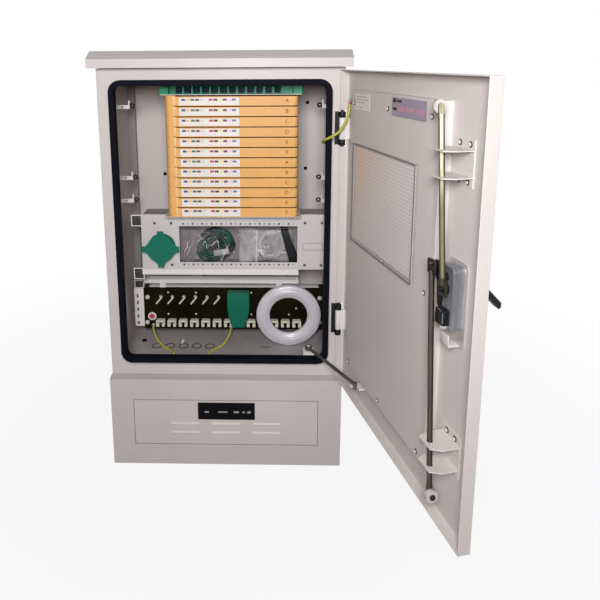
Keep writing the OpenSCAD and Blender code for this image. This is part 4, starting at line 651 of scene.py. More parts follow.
bm = bmesh.new()
for x, z in ((-230, 372), (-233, 297), (250, 371), (250, 300)):
    add_spun(bm, pan_head(6.5 * MM, 4.0 * MM), facing_front(x, clamp_y, z))
for x, z in ((-172, 386), (-94, 386), (-173, 322), (-95, 322), (60, 386), (140, 386), (60, 322), (165, 322), (185, 340)):
    add_spun(bm, pan_head(2.8 * MM, 1.6 * MM), facing_front(x, clamp_y, z), steps=14)
for x, y in ((-132, 22), (-132, 10)):
    add_spun(bm, pan_head(4.2 * MM, 3.0 * MM), Matrix.Translation((x * MM, y * MM, floor_z * MM)))
white_zinc = finish("white_zinc", (0.74, 0.72, 0.70), (0.6, 0.58, 0.56), amount=0.4, clouds_at=90.0,
                    rough=(0.25, 0.4), metal=0.35)
piece("clamp_bolts", bm, white_zinc, "cabinet")


def add_nut(bm, place):
    """A bright domed nut on a dark washer."""
    add_spun(bm, [(5.0 * MM, 0.0), (5.0 * MM, 0.8 * MM), (4.4 * MM, 1.2 * MM), (2.0 * MM, 1.2 * MM)], place, steps=20)
    add_spun(bm, [(3.1 * MM, 1.0 * MM), (3.1 * MM, 2.2 * MM), (2.2 * MM, 3.0 * MM), (0.0, 3.2 * MM)], place, steps=6, paint=1)



guide_y = closed_box("rod_guides")[0].y / MM + 2.0
pan_y = pan_high.y / MM
bm = bmesh.new()
for along, z in ((470, 896), (498, 896), (470, 838), (496, 838), (482, 416), (506, 416), (482, 358), (506, 358)):
    add_nut(bm, facing_door(along, guide_y, z))
for along, z in ((522, 896), (522, 842), (530, 412)):
    add_spun(bm, pan_head(3.2 * MM, 0.4 * MM), facing_door(along, guide_y - 2.0, z), paint=1)
for along in (85, 250, 415):
    for z in (332, 632, 930):
        add_nut(bm, facing_door(along, pan_y, z))
piece("door_screws", bm, [dull, white_zinc], "door")
print("screws placed")

# %% [markdown]
# The labels and plates are left without words. A label is a thin card with a rim a
# shade darker, made by insetting its front face, and the plinth carries a black plate.
# Plain fields and rows stand where print would be.


# %% Bare labels and plates
def card(name, low, high, face_at, rim, finishes, body, place=HERE, bevel=0.0003):
    """A thin plate; the face that looks along face_at is inset, and the field gets the second finish."""
    bm = bmesh.new()
    add_block(bm, [v * MM for v in low], [v * MM for v in high])
    front = max(bm.faces, key=lambda f: f.normal.dot(Vector(face_at)))
    bmesh.ops.inset_region(bm, faces=[front], thickness=rim * MM)
    front.material_index = 1
    edges = [e for e in bm.edges if e.calc_face_angle(0.0) > 0.8]
    bmesh.ops.bevel(bm, geom=edges, offset=bevel, segments=2, profile=0.5, affect="EDGES", material=-1)
    bmesh.ops.transform(bm, matrix=place, verts=bm.verts)
    piece(name, bm, finishes, body)


paper = finish("label_white", (0.80, 0.77, 0.76), amount=0.2, rough=(0.35, 0.5))
label_rim = finish("label_rim", (0.34, 0.33, 0.34), amount=0.2, rough=(0.4, 0.5))
purple = finish("label_purple", (0.33, 0.28, 0.37), (0.27, 0.21, 0.31), amount=0.5, clouds_at=16.0, rough=(0.3, 0.45))
pink = finish("label_pink", (0.52, 0.26, 0.36), (0.44, 0.22, 0.33), amount=0.5, clouds_at=40.0, rough=(0.3, 0.45))
purple_rim = finish("label_purple_rim", (0.30, 0.26, 0.30), amount=0.2, rough=(0.3, 0.45))
plate_black = finish("plate_black", (0.003, 0.003, 0.004), (0.007, 0.007, 0.008), amount=0.5, clouds_at=20.0,
                     rough=(0.25, 0.4), shine=0.05)
plate_rim = finish("plate_rim", (0.03, 0.028, 0.03), amount=0.3, rough=(0.3, 0.45), shine=0.1)
card("storage_label", (196, storage_y - 0.6, 539), (249, storage_y, 559), (0, -1, 0), 2.4,
     [label_rim, FINISH["inner_paint"]], "cabinet")
cover_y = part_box("plinth_frame")[0].y / MM + 1.0
card("plinth_plate", (-70, cover_y - 1.4, 127), (74, cover_y, 174), (0, -1, 0), 1.5,
     [plate_rim, plate_black], "cabinet", bevel=0.0006)
# A dark frame round the plinth cover is painted shadow in the groove between cover and frame.
seam = finish("cover_groove_painted_shadow", (0.24, 0.21, 0.215), (0.16, 0.14, 0.145), amount=0.5, clouds_at=20.0, rough=(0.5, 0.7))
bm = bmesh.new()
add_frame(bm, Vector((-233, cover_y, 56)) * MM, Vector((233, cover_y + 0.6, 181)) * MM, 2.4 * MM)
bmesh.ops.translate(bm, vec=(0.0, -0.6 * MM, 0.0), verts=bm.verts)
piece("cover_groove_painted_shadow", bm, seam, "cabinet")
card("door_label_white", (DOOR_EDGE - 166, pan_y, 917), (DOOR_EDGE - 91, pan_y + 0.5, 951), (0, 1, 0), 0.8,
     [paper, paper], "door", OPEN)
card("door_label_purple", (DOOR_EDGE - 396, pan_y, 919), (DOOR_EDGE - 267, pan_y + 0.5, 953), (0, 1, 0), 1.5,
     [purple_rim, purple], "door", OPEN)
bm = bmesh.new()
for start, end, bottom, top, paint in ((290, 317, 929, 938, 0), (326, 353, 929, 938, 0), (362, 389, 929, 938, 0),
                                       (272, 287, 930, 935, 1), (272, 284, 944, 951, 1), (288, 306, 945, 949, 1)):
    add_block(bm, Vector((DOOR_EDGE - end, pan_y + 0.3, bottom)) * MM, Vector((DOOR_EDGE - start, pan_y + 0.7, top)) * MM,
              OPEN, bevel=0.0001, segments=1, paint=paint)
piece("door_label_fields", bm, [pink, plate_rim], "door")
bm = bmesh.new()
for start, end, bottom in ((98, 150, 944), (98, 158, 938), (98, 140, 932), (98, 106, 922), (114, 130, 922)):
    add_block(bm, Vector((DOOR_EDGE - end, pan_y + 0.3, bottom)) * MM, Vector((DOOR_EDGE - start, pan_y + 0.6, bottom + 1.6)) * MM,
              OPEN, bevel=0.0001, segments=1)
piece("door_label_rows", bm, label_rim, "door")
bm = bmesh.new()
for start, end, bottom, top in ((-53, -42, 146.5, 150.5), (-19, 5, 146.8, 150.2), (21, 34, 146, 151), (42, 49, 146.5, 150.5),
                                (55, 63.5, 145.5, 151)):
    add_block(bm, Vector((start, cover_y - 1.7, bottom)) * MM, Vector((end, cover_y - 1.2, top)) * MM,
              bevel=0.0001, segments=1)
piece("plinth_plate_fields", bm, label_rim, "cabinet")
print("labels and plates placed")

# %% [markdown]
# The document pocket on the door is a clear sleeve with a welded, dark edge, and a
# ruled sheet of paper in it. The edge is a square frame: a plate whose face is inset
# and whose middle is cut out. The paper's fine lines come from a wave of its height.

# %% Document sheet and pocket edge
pocket_low, pocket_high = (v / MM for v in closed_box("document_pocket"))
ruled = finish("ruled_paper", (0.80, 0.74, 0.73), amount=0.2, clouds_at=9.0, rough=(0.5, 0.65))
corner = Vector(SHUT[0][:3]) + Vector((0.0, 0.0, 0.7))
corner_at = pocket_high.x * MM - SHUT[0][3] + 0.7 * pocket_high.z * MM
over(ruled, (0.86, 0.60, 0.44), rising(ruled, corner, corner_at - 0.21, corner_at - 0.04, (0.0, 0.75)))
lines = node(ruled.node_tree, "TexWave", bands_direction="Z", wave_profile="SIN", Scale=44.0, Distortion=2.5)
lines.inputs["Detail Scale"].default_value = 14.0
ruled.node_tree.links.new(node(ruled.node_tree, "TexCoord").outputs["Object"], lines.inputs["Vector"])
over(ruled, (0.40, 0.37, 0.39), climb(ruled, lines.outputs["Fac"], 0.55, 0.95, (0.0, 0.42)))

bm = bmesh.new()
add_block(bm, ((pocket_low.x + 6) * MM, (pocket_low.y + 1.4) * MM, (pocket_low.z + 5) * MM),
          ((pocket_high.x - 6) * MM, (pocket_low.y + 2.0) * MM, (pocket_high.z - 3) * MM), OPEN, bevel=0.0002, segments=1)
piece("document_sheet", bm, ruled, "door")

welded = finish("pocket_edge", (0.13, 0.115, 0.14), (0.2, 0.18, 0.2), amount=0.4, clouds_at=30.0, rough=(0.3, 0.45))
bm = bmesh.new()
add_frame(bm, (pocket_low.x * MM, (pocket_high.y - 0.2) * MM, pocket_low.z * MM),
          (pocket_high.x * MM, (pocket_high.y + 0.9) * MM, pocket_high.z * MM), 3.2 * MM)
bmesh.ops.transform(bm, matrix=OPEN, verts=bm.verts)
piece("pocket_edge", bm, welded, "door")
print("pocket", [round(v) for v in pocket_high - pocket_low])

# %% [markdown]
# Under the cam stands the lock's black barrel, closed by a bright nut, and a striker
# plate folded from sheet. The barrel is a rounded block that covers the casting's
# boss, and the nut is spun with six steps, which makes it a hexagon.

# %% Lock barrel, nut and striker plate
case_low, case_high = (v / MM for v in closed_box("lock_case"))
turn = next(j for j in frame["joints"] if j["name"] == "lock_turn")
lock_at = SHUT @ Vector(turn["pos_m"]) / MM
boss_y = case_high.y
bm = bmesh.new()
add_block(bm, ((lock_at.x - 14.6) * MM, (boss_y - 20) * MM, (lock_at.z - 77.6) * MM),
          ((lock_at.x + 8.6) * MM, (boss_y + 0.4) * MM, (lock_at.z - 51.4) * MM), OPEN, bevel=0.003, segments=3)
piece("lock_barrel", bm, FINISH["black_paint"], "door")
bm = bmesh.new()
seat = OPEN @ Matrix.Translation(((lock_at.x - 3) * MM, (boss_y - 9) * MM, (lock_at.z - 77.4) * MM)) @ Matrix.Rotation(
    math.pi, 4, "X")
add_spun(bm, [(9.0 * MM, 0.0), (9.0 * MM, 4.5 * MM), (7.5 * MM, 6.0 * MM), (4.0 * MM, 6.0 * MM), (4.0 * MM, 8.5 * MM),
              (0.0, 9.0 * MM)], seat, steps=6)
piece("lock_nut", bm, SCREW_STEEL, "door", smooth=0.3)
bm = bmesh.new()
add_block(bm, ((lock_at.x - 15) * MM, (case_high.y - 31.4) * MM, (lock_at.z - 114) * MM),
          ((lock_at.x + 10) * MM, (case_high.y - 12) * MM, (lock_at.z - 111.5) * MM), OPEN, bevel=0.0006)
add_block(bm, ((lock_at.x - 15) * MM, (case_high.y - 14) * MM, (lock_at.z - 114) * MM),
          ((lock_at.x + 10) * MM, (case_high.y - 12) * MM, (lock_at.z - 94) * MM), OPEN, bevel=0.0006)
piece("striker_plate", bm, FINISH["cabinet_paint"], "door")
print("lock at", [round(v, 1) for v in lock_at])

# %% [markdown]
# A round marker sits on the clamp panel beside the earth bolt: a white disc with a red
# field, spun from one profile. Black ties hang in the hooks of the cable guides, and
# a few rubber plugs close holes in the walls. Raised rims mark the floor's knock-outs, painted dark as painted shade.

# %% Marker, cable ties and plugs
bm = bmesh.new()
spot = facing_front(-219, clamp_y, 315)
add_spun(bm, [(12.0 * MM, 0.0), (12.0 * MM, 1.2 * MM), (11.2 * MM, 1.8 * MM), (0.0, 1.8 * MM)], spot, steps=32)
add_spun(bm, [(8.0 * MM, 1.7 * MM), (7.6 * MM, 2.1 * MM), (0.0, 2.1 * MM)], spot, steps=28, paint=1)
piece("earth_marker", bm, [FINISH["white_plastic"], finish("marker_red", (0.50, 0.07, 0.08), amount=0.3,
                                                          rough=(0.4, 0.55))], "cabinet")

bm = bmesh.new()


def add_loop(bm, place, ring, tube, steps=24):
    """A closed ring of round section, lying in the place's X and Y."""
    section = [(ring + tube * math.cos(a * math.pi / 4), tube * math.sin(a * math.pi / 4)) for a in range(9)]
    add_spun(bm, section, place, steps=steps)


guide_low, guide_high = (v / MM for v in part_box("cable_guides"))
left_arm = guide_low.x + 38.0
for z in (guide_low.z + 12, guide_low.z + 73, guide_high.z - 15.2):
    add_loop(bm, facing_front(left_arm + 6.4, (guide_low.y + guide_high.y) / 2, z + 2), 4.6 * MM, 2.0 * MM)
    add_loop(bm, facing_front(-left_arm - 6.4, (guide_low.y + guide_high.y) / 2, z + 2), 4.6 * MM, 2.0 * MM)
piece("cable_ties", bm, FINISH["black_paint"], "cabinet")

back_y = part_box("back_panel")[0].y / MM
bm = bmesh.new()
for x, z in ((-190, 943), (218, 903), (214, 716), (-190, 700)):
    add_spun(bm, [(5.0 * MM, 0.0), (5.0 * MM, 1.0 * MM), (4.0 * MM, 1.8 * MM), (0.0, 2.0 * MM)],
             facing_front(x, back_y, z), steps=18)
add_spun(bm, [(7.0 * MM, 0.0), (7.0 * MM, 2.0 * MM), (5.0 * MM, 3.0 * MM), (4.0 * MM, 1.0 * MM), (0.0, 0.8 * MM)],
         Matrix.Translation((-0.241, 0.021, floor_z * MM)), steps=20)
piece("wall_plugs", bm, FINISH["gasket_rubber"], "cabinet")
# The knock-out rims are painted dark, as painted shade round the knock-outs.
bm = bmesh.new()
for k in range(5):
    add_spun(bm, [(11.4 * MM, 0.0), (11.8 * MM, 1.5 * MM), (13.0 * MM, 1.8 * MM), (14.0 * MM, 1.0 * MM), (14.2 * MM, 0.0)],
             Matrix.Translation((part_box("floor_plate")[0].x + (84.0 + 36.6 * k) * MM, -0.010, floor_z * MM)), steps=28)
piece("knockout_rims_painted_shade", bm, dull, "cabinet")
print("marker, ties and plugs placed")

# %% [markdown]
# Two accessory bags lie behind the window: clear film, crumpled, round coils of thin
# pigtail. Film keeps its area and buckles, so the bag is a small closed shell whose
# cloth is told to grow by a sixth, with a little pressure inside and no gravity. The
# growth has nowhere to go and makes the creases. A cap keeps the film inside its box.
# Creased film catches light on its folds, and here that light is painted: the finish splits the
# film into flats with a bent cell pattern and paints some of the cells' edges white and less clear,
# as painted highlights. A slow noise makes milky patches between clear ones.


# %% Finish for creased film
def film_finish(name, colour, clear, hazy, scale):
    made = finish(name, colour, amount=0.3, clouds_at=30.0, rough=(0.15, 0.3), shine=0.25)
    tree = made.node_tree
    shader = tree.nodes["Principled BSDF"]
    spot = node(tree, "TexCoord")
    bent = node(tree, "TexNoise", Scale=scale * 0.5, Detail=2.0)
    pull = node(tree, "VectorMath", operation="MULTIPLY_ADD")
    pull.inputs[1].default_value = (0.035, 0.035, 0.035)
    drawn = node(tree, "VectorMath", operation="MULTIPLY")
    drawn.inputs[1].default_value = (1.0, 1.0, 0.55)
    facet = node(tree, "TexVoronoi", feature="DISTANCE_TO_EDGE", Scale=scale)
    crease_highlight = node(tree, "MapRange")
    for key, value in (("From Min", 0.0), ("From Max", 0.05), ("To Min", 1.0), ("To Max", 0.0)):
        crease_highlight.inputs[key].default_value = value
    broken = node(tree, "TexNoise", Scale=scale * 0.8, Detail=1.0)
    milky = node(tree, "TexNoise", Scale=scale * 0.55, Detail=3.0)
    some = node(tree, "MapRange")
    some.inputs["From Min"].default_value, some.inputs["From Max"].default_value = 0.46, 0.62
    # Painted highlights: where a crease line falls in a bright patch, the film turns white and less clear.
    bright = node(tree, "Math", operation="MULTIPLY")
    see = node(tree, "Math", operation="MAXIMUM")
    white = node(tree, "Mix", data_type="RGBA")
    white.inputs[7].default_value = (0.93, 0.91, 0.92, 1.0)
    for a, b in ((spot.outputs["Object"], bent.inputs["Vector"]), (bent.outputs["Color"], pull.inputs[0]),
                 (spot.outputs["Object"], pull.inputs[2]), (pull.outputs[0], drawn.inputs[0]),
                 (drawn.outputs[0], facet.inputs["Vector"]), (drawn.outputs[0], milky.inputs["Vector"]),
                 (facet.outputs["Distance"], crease_highlight.inputs["Value"]), (spot.outputs["Object"], broken.inputs["Vector"]),
                 (broken.outputs["Fac"], some.inputs["Value"]), (crease_highlight.outputs["Result"], bright.inputs[0]),
                 (some.outputs["Result"], bright.inputs[1]),
                 (climb(made, bright.outputs[0], 0.0, 1.0, (0.0, 0.95)), see.inputs[0]),
                 (climb(made, milky.outputs["Fac"], 0.44, 0.64, (clear, hazy)), see.inputs[1]),
                 (see.outputs[0], shader.inputs["Alpha"]), (bright.outputs[0], white.inputs[0]),
                 (shader.inputs["Base Color"].links[0].from_socket, white.inputs[6]),
                 (white.outputs[2], shader.inputs["Base Color"])):
        tree.links.new(a, b)
    return made


dark_film = film_finish("film_over_dark", (0.24, 0.22, 0.245), 0.04, 0.42, 44.0)
pale_film = film_finish("film_over_pale", (0.52, 0.49, 0.51), 0.25, 0.85, 36.0)
print("film finishes made")


# %% Crumpled film bags
def film_bag(name, solid, reach, film, grow, pressure, seed):
    low, high = (v + Vector((grow_x, 0.0, 0.0)) * MM for v, grow_x in zip(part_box(solid), reach))
    middle, half = (low + high) / 2, (high - low) / 2
    bm = bmesh.new()
    add_block(bm, low, high, bevel=0.010, segments=3)
    bmesh.ops.scale(bm, vec=(0.985, 0.74, 0.985), space=Matrix.Translation(-middle), verts=bm.verts)
    mesh = bpy.data.meshes.new(name)
    bm.to_mesh(mesh)
    bm.free()
    bag = bpy.data.objects.new(name, mesh)
    bpy.context.scene.collection.objects.link(bag)
    remesh = bag.modifiers.new("even_mesh", "REMESH")
    remesh.mode, remesh.voxel_size = "VOXEL", 0.0042
    even = bpy.data.meshes.new_from_object(bag.evaluated_get(bpy.context.evaluated_depsgraph_get()))
    bag.modifiers.clear()
    bag.data = even
    for v in even.vertices:
        v.co += noise.noise_vector(v.co * 90 + Vector((seed, 0, 0))) * 0.0016
    start = [v.co.copy() for v in even.vertices]
    cloth = bag.modifiers.new("film", "CLOTH")
    cloth.settings.use_pressure, cloth.settings.uniform_pressure_force = True, pressure
    cloth.settings.effector_weights.gravity = 0.0
    cloth.settings.shrink_min = -grow
    cloth.settings.quality, cloth.settings.mass = 6, 0.1
    cloth.settings.tension_stiffness = cloth.settings.compression_stiffness = 20.0
    cloth.settings.bending_stiffness = 0.05
    cloth.point_cache.frame_end = 16
    for step in range(1, 17):
        bpy.context.scene.frame_set(step)
    shaped = bpy.data.meshes.new_from_object(bag.evaluated_get(bpy.context.evaluated_depsgraph_get()))
    bag.modifiers.clear()
    bag.data = shaped
    for v, home in zip(shaped.vertices, start):
        move = v.co - home
        v.co = home + move * min(1.0, 0.009 / max(move.length, 1e-9))
        for k in range(3):
            v.co[k] = max(low[k] + 0.0004, min(high[k] - 0.0004, v.co[k]))
    bpy.context.scene.frame_set(1)
    for face in shaped.polygons:
        face.use_smooth = True
    shaped.materials.clear()
    shaped.materials.append(film)
    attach(bag, "cabinet")
    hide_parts(solid)
    print(name, len(shaped.vertices), "points")
    return middle, half


left_at, left_half = film_bag("film_bag_left", "accessory_bag_left", (-10, 12), dark_film, 0.16, 2.0, 3.0)
right_at, right_half = film_bag("film_bag_right", "accessory_bag_right", (-9, 7), pale_film, 0.18, 2.5, 11.0)

# %% [markdown]
# The pigtails inside are coils. A closed ring of round section stands for each turn,
# tilted a little by a fixed table of angles, so the turns cross as in a loose coil.
# A dark wad behind the green coil and a slanted dark block at the right are painted shade, where the
# bags lie in shadow; a pale upright strip and a grey card fill the bags too. The slant is a shear of a plain block.

# %% Coils in the bags
pigtail = finish("pigtail_green", (0.003, 0.085, 0.055), (0.001, 0.008, 0.007), amount=1.0, clouds_at=34.0,
                 rough=(0.3, 0.45), shine=0.3)
pale_tail = finish("pigtail_white", (0.70, 0.68, 0.69), (0.5, 0.48, 0.5), amount=0.5, clouds_at=40.0, rough=(0.3, 0.45))
painted_shade_black = finish("black_painted_shade", (0.008, 0.010, 0.010), (0.04, 0.04, 0.045), amount=0.6, clouds_at=30.0,
                rough=(0.3, 0.5), shine=0.15)
TILTS = [(4, -7), (-9, 3), (12, 8), (-3, -12), (7, 11), (-12, 5), (2, 9), (10, -5), (-6, -4), (5, 3), (-8, 9), (9, -9)]


def coil(bm, middle, count, ring, step, tube):
    """Loose turns round a middle; each turn is a ring with its own tilt."""
    for k in range(count):
        a, b = TILTS[k % len(TILTS)]
        shift = Vector((1.2 * (k % 5 - 2), 3.0 * (k % 4 - 1.5), 1.0 * (k % 3) - 1.0)) * MM
        spot = (Matrix.Translation(middle + shift) @ FRONT @ Matrix.Rotation(math.radians(a), 4, "X")
                @ Matrix.Rotation(math.radians(b), 4, "Y"))
        add_loop(bm, spot, (ring - step * (k % 7)) * MM, tube * MM, steps=30)


bm = bmesh.new()
coil(bm, left_at + Vector((14.0, -2.0, 0.0)) * MM, 20, 42.0, 3.4, 2.3)
lean = Matrix.Identity(4)
lean[0][2] = 0.32
bmesh.ops.transform(bm, matrix=lean, space=Matrix.Translation(-left_at), verts=bm.verts)
piece("green_coil", bm, pigtail, "cabinet", smooth=1.2)
bm = bmesh.new()
coil(bm, right_at + Vector((14.0, -4.0, 2.0)) * MM, 8, 36.0, 0.9, 1.5)
piece("white_coil", bm, pale_tail, "cabinet", smooth=1.2)

bm = bmesh.new()
# Painted shade: a dark wad behind the green coil, where the bag lies in shadow.
lens = [(0.0, -5.0), (30.0, -4.0), (42.0, -2.0), (46.0, 0.0), (42.0, 3.0), (0.0, 4.0)]
add_spun(bm, [(r * MM, h * MM) for r, h in lens],
         Matrix.Translation(left_at + Vector((18.0, 8.0, 0.0)) * MM) @ FRONT, steps=32)
for v in bm.verts:
    v.co += noise.noise_vector(v.co * 40) * 0.006
# Painted shadow: two sheared dark blocks at the right end of the right bag.
slant = Matrix.Identity(4)
slant[0][2] = -0.26
add_block(bm, Vector((-9.5, -right_half.y * 1000 - 1.0, -45.0)) * MM, Vector((9.5, right_half.y * 1000, 45.0)) * MM,
          Matrix.Translation((0.1615, right_at.y, right_at.z)) @ slant, bevel=0.0012)
slant[0][2] = -0.34
add_block(bm, Vector((-7.0, -right_half.y * 1000 - 0.6, -45.0)) * MM, Vector((7.0, right_half.y * 1000, 45.0)) * MM,
          Matrix.Translation((0.166, right_at.y, right_at.z)) @ slant, bevel=0.0012)
piece("painted_shadow_inlay", bm, painted_shade_black, "cabinet")
# A pale upright strip in the right bag.
bm = bmesh.new()
add_block(bm, Vector((-1.6, -1.5, -44.0)) * MM, Vector((1.6, 1.5, 44.0)) * MM,
          Matrix.Translation((0.078, right_at.y - right_half.y * 0.7, right_at.z)) @ Matrix.Rotation(math.radians(2), 4, "Y"),
          bevel=0.0008)
piece("bag_pale_strip", bm, pale_tail, "cabinet")

bm = bmesh.new()
add_block(bm, Vector((-20.0, -0.5, -8.0)) * MM, Vector((20.0, 0.5, 8.0)) * MM,
          Matrix.Translation(left_at + Vector((32.0, -16.0, -16.0)) * MM) @ Matrix.Rotation(math.radians(-9), 4, "Y"),
          bevel=0.0003)
piece("bag_card", bm, finish("card_grey", (0.34, 0.325, 0.335), amount=0.3, rough=(0.4, 0.55)), "cabinet")
print("coils in the bags placed")

# %% [markdown]
# The spare tube is wound on the floor in front of the clamps. Its turns lie tight, so
# one profile with five shallow waves is spun into the whole roll. The roll has sunk a
# little under its own weight, which a scale in height shows, and it leans on the wall.

# %% Roll of spare tube
low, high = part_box("tube_roll")
turns, ring_in, ring_out = 5, 51.8, 88.2
step = (ring_out - ring_in) / turns
profile = []
for side in (1, -1):
    for k in range(turns * 6 + 1):
        t = k / 6 if side > 0 else turns - k / 6
        crown = 5.6 + 0.7 * abs(math.sin(math.pi * t)) + 6.0 * math.sin(math.pi * t / turns)
        profile.append(((ring_in + t * step) * MM, side * crown * MM))
profile.append(profile[0])
bm = bmesh.new()
add_spun(bm, profile, Matrix.Identity(4), steps=72)
bmesh.ops.transform(bm, matrix=Matrix.Diagonal((1.0, 0.95, 1.0, 1.0)), verts=bm.verts)
bmesh.ops.transform(bm, matrix=Matrix.Translation(((low.x + high.x) / 2, (low.y + high.y) / 2, low.z + 0.5 * MM + 0.95 * ring_out * MM))
                    @ Matrix.Rotation(math.radians(-6), 4, "X") @ FRONT, verts=bm.verts)
roll = piece("spare_tube", bm, FINISH["tube_plastic"], "cabinet", smooth=1.2)
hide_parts("tube_roll")
print("tube roll", [round(v, 3) for v in high - low])

# %% [markdown]
# A pale strip lies on the clamp panel's top fold, behind its black front edge. A dark strip
# behind the storage panel is painted shade, so that its row of small holes reads as holes.

# %% Pale strip and painted shade strip
clamp_low, clamp_high = (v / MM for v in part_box("clamp_panel"))
bm = bmesh.new()
add_block(bm, ((clamp_low.x + 14) * MM, (clamp_low.y + 9) * MM, clamp_high.z * MM),
          ((clamp_high.x - 14) * MM, clamp_high.y * MM, (clamp_high.z + 0.9) * MM), bevel=0.0003)
piece("panel_top_pale_strip", bm, FINISH["white_paint"], "cabinet")
window_low, window_high = (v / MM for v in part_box("storage_panel"))
bm = bmesh.new()
# Painted shade: a dark strip behind each row of holes, so the holes read dark.
for z in (498.0, 607.0):
    add_block(bm, ((window_low.x + 98) * MM, window_high.y * MM, z * MM),
              ((window_low.x + 402) * MM, (window_high.y + 1.2) * MM, (z + 6.0) * MM), bevel=0.0003)
piece("hole_painted_shade_strip", bm, painted_shade_black, "cabinet")
print("strips placed")

# %% [markdown]
# At their left ends the panel and the rails reach the wall with open ears: a folded
# frame, dark inside. Each ear is a frame with a dark plate behind it, painted shade in the opening.

# %% Ears at the left ends
EARS = [("panel_ear", (-245.0, -52.0, 601.5), (-213.0, -50.5, 632.0)),
        ("rail_ear", (-247.0, -40.0, 453.0), (-219.0, -38.5, 484.5)),
        ("clamp_ear", (-265.5, 37.0, 397.0), (-239.0, 38.5, 421.0))]
backs = bmesh.new()
for name, low, high in EARS:
    bm = bmesh.new()
    add_frame(bm, Vector(low) * MM, Vector(high) * MM, 3.4 * MM)
    piece(name, bm, FINISH["white_paint"], "cabinet")
    # The dark plate behind each ear is painted shade.
    add_block(backs, Vector((low[0] + 1.0, high[1], low[2] + 1.0)) * MM,
              Vector((high[0] - 1.0, high[1] + 4.0, high[2] - 1.0)) * MM, bevel=0.0003)
piece("ear_backs", backs, finish("ear_shade", (0.022, 0.02, 0.019), (0.07, 0.06, 0.05), amount=0.9, clouds_at=120.0,
                                 rough=(0.5, 0.7)), "cabinet")
print("ears:", len(EARS))

# %% [markdown]
# The strap and the wires end in crimped lugs under bolts. A lug's barrel is spun round
# the cord's own end, and a flat palm carries the bolt.


# %% Lugs and earth bolts
def lug(name, end, before, normal, body, sleeve):
    """A crimped barrel over a cord's end, and the bolt that holds it."""
    end, before, normal = Vector(end) * MM, Vector(before) * MM, Vector(normal).normalized()
    way = (before - end).normalized()
    bm = bmesh.new()
    at = Matrix.Translation(end) @ way.to_track_quat("Z", "Y").to_matrix().to_4x4()
    add_spun(bm, [(2.5 * MM, 0.0), (3.3 * MM, 0.4 * MM), (3.3 * MM, 9.0 * MM), (2.5 * MM, 9.8 * MM)], at, steps=16)
    seat = Matrix.Translation(end) @ normal.to_track_quat("Z", "Y").to_matrix().to_4x4()
    add_spun(bm, [(6.5 * MM, 0.0), (6.5 * MM, 1.2 * MM), (4.6 * MM, 1.4 * MM), (4.6 * MM, 4.4 * MM), (3.6 * MM, 5.2 * MM),
                  (0.0, 5.2 * MM)], seat, steps=6, paint=1)
    piece(name, bm, [sleeve, SCREW_STEEL], body, smooth=0.4)


red_sleeve = finish("red_sleeve", (0.34, 0.05, 0.05), amount=0.3, rough=(0.35, 0.5))
door_in = OPEN.to_3x3() @ Vector((0, 1, 0))
lug("strap_lug_wall", (283.4, -128, 832), STRAP[1], (-1, 0, 0), "cabinet", SCREW_STEEL)
lug("strap_lug_door", Vector(STRAP[-1]) - door_in * 1.5, STRAP[-2], door_in, "door", red_sleeve)
lug("wire_lug_left", (WIRE_A[0][0], clamp_y, WIRE_A[0][2]), WIRE_A[1], (0, -1, 0), "cabinet", SCREW_STEEL)
lug("wire_lug_middle", (WIRE_B[0][0], clamp_y, WIRE_B[0][2]), WIRE_B[1], (0, -1, 0), "cabinet", SCREW_STEEL)
print("lugs placed")

# %% [markdown]
# The studio is a pale floor and a pale world. The camera sees both as white, while
# the light stays at a plain level. The photograph's light came from beside the lens:
# faces that look at the camera are bright, and the plinth, the side walls and the
# door's inner panel fall off. One soft box just above the camera gives the same. Two
# more stand behind the cabinet, so its back and sides can be judged as well.

# %% Floor, world and lamp
floor_mesh = bmesh.new()
bmesh.ops.create_grid(floor_mesh, x_segments=1, y_segments=1, size=6.0)
mesh = bpy.data.meshes.new("studio_floor")
floor_mesh.to_mesh(mesh)
floor_mesh.free()
studio = bpy.data.objects.new("studio_floor", mesh)
bpy.context.scene.collection.objects.link(studio)
studio.location.z = cad_low.z - 0.0005
studio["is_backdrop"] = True
pale = bpy.data.materials.new("pale_floor")
pale.use_nodes = True
tree = pale.node_tree
tree.nodes["Principled BSDF"].inputs["Base Color"].default_value = (0.28, 0.28, 0.28, 1.0)
tree.nodes["Principled BSDF"].inputs["Roughness"].default_value = 0.9


def seen_white(tree):
    """1 for rays from the camera, from mirrors and through glass."""
    rays = node(tree, "LightPath")
    first = node(tree, "Math", operation="MAXIMUM")
    both = node(tree, "Math", operation="MAXIMUM")
    tree.links.new(rays.outputs["Is Camera Ray"], first.inputs[0])
    tree.links.new(rays.outputs["Is Glossy Ray"], first.inputs[1])
    tree.links.new(first.outputs[0], both.inputs[0])
    tree.links.new(rays.outputs["Is Transmission Ray"], both.inputs[1])
    return both.outputs[0]


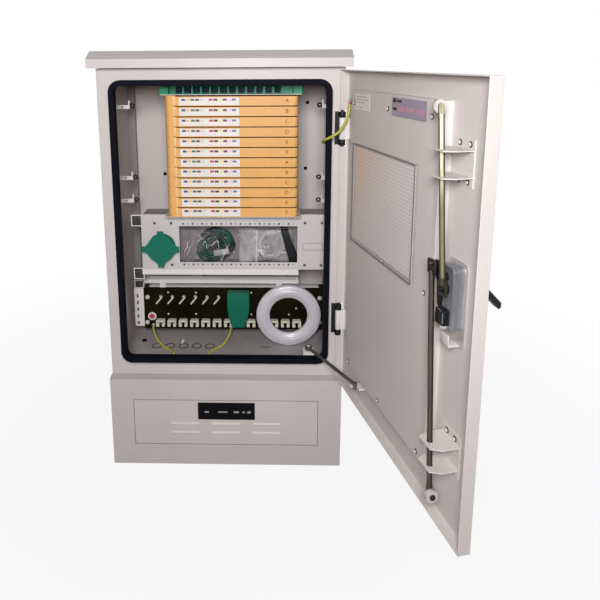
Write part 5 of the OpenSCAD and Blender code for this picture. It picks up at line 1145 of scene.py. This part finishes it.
glow = node(tree, "Emission", Strength=1.0)
part_white = node(tree, "Math", operation="MULTIPLY")
spot, away = node(tree, "TexCoord"), node(tree, "VectorMath", operation="LENGTH")
fade = node(tree, "MapRange", interpolation_type="SMOOTHSTEP")
for key, value in (("From Min", 0.3), ("From Max", 1.7), ("To Min", 0.9), ("To Max", 1.0)):
    fade.inputs[key].default_value = value
tree.links.new(spot.outputs["Object"], away.inputs[0])
tree.links.new(away.outputs["Value"], fade.inputs["Value"])
tree.links.new(fade.outputs["Result"], part_white.inputs[1])
tree.links.new(seen_white(tree), part_white.inputs[0])
mixed = node(tree, "MixShader")
tree.links.new(part_white.outputs[0], mixed.inputs[0])
tree.links.new(tree.nodes["Principled BSDF"].outputs[0], mixed.inputs[1])
tree.links.new(glow.outputs[0], mixed.inputs[2])
tree.links.new(mixed.outputs[0], tree.nodes["Material Output"].inputs["Surface"])
mesh.materials.append(pale)

world = bpy.data.worlds.new("pale_world")
world.use_nodes = True
bpy.context.scene.world = world
tree = world.node_tree
lit = tree.nodes["Background"]
lit.inputs["Color"].default_value = (1.0, 1.0, 1.0, 1.0)
lit.inputs["Strength"].default_value = 0.06
plain = node(tree, "Background", Strength=1.0)
plain.inputs["Color"].default_value = (1.0, 1.0, 1.0, 1.0)
choice = node(tree, "MixShader")
tree.links.new(seen_white(tree), choice.inputs[0])
tree.links.new(lit.outputs[0], choice.inputs[1])
tree.links.new(plain.outputs[0], choice.inputs[2])
tree.links.new(choice.outputs[0], tree.nodes["World Output"].inputs["Surface"])


def soft_box(name, place, target, size, watts):
    lamp = bpy.data.lights.new(name, "AREA")
    lamp.shape, lamp.size, lamp.energy = "SQUARE", size, watts
    made = bpy.data.objects.new(name, lamp)
    bpy.context.scene.collection.objects.link(made)
    made.location = place
    made.rotation_euler = (Vector(target) - Vector(place)).to_track_quat("-Z", "Y").to_euler()


soft_box("camera_soft_box", (0.06, -1.72, 1.24), (0.07, 0.0, 0.71), 0.4, 25.5)
for side in (-1, 1):
    soft_box("rear_soft_box", (1.7 * side, 1.8, 0.9), (0.0, 0.0, 0.55), 0.8, 22.0)
bpy.context.scene.view_settings.view_transform = "Standard"
print("studio lit")

# %% [markdown]
# The size of the dressed cabinet is printed, to set beside the solid one's size printed at the start.

# %% Print the dressed size
low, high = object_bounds()
print("visual box:", [round(x, 3) for x in high - low])
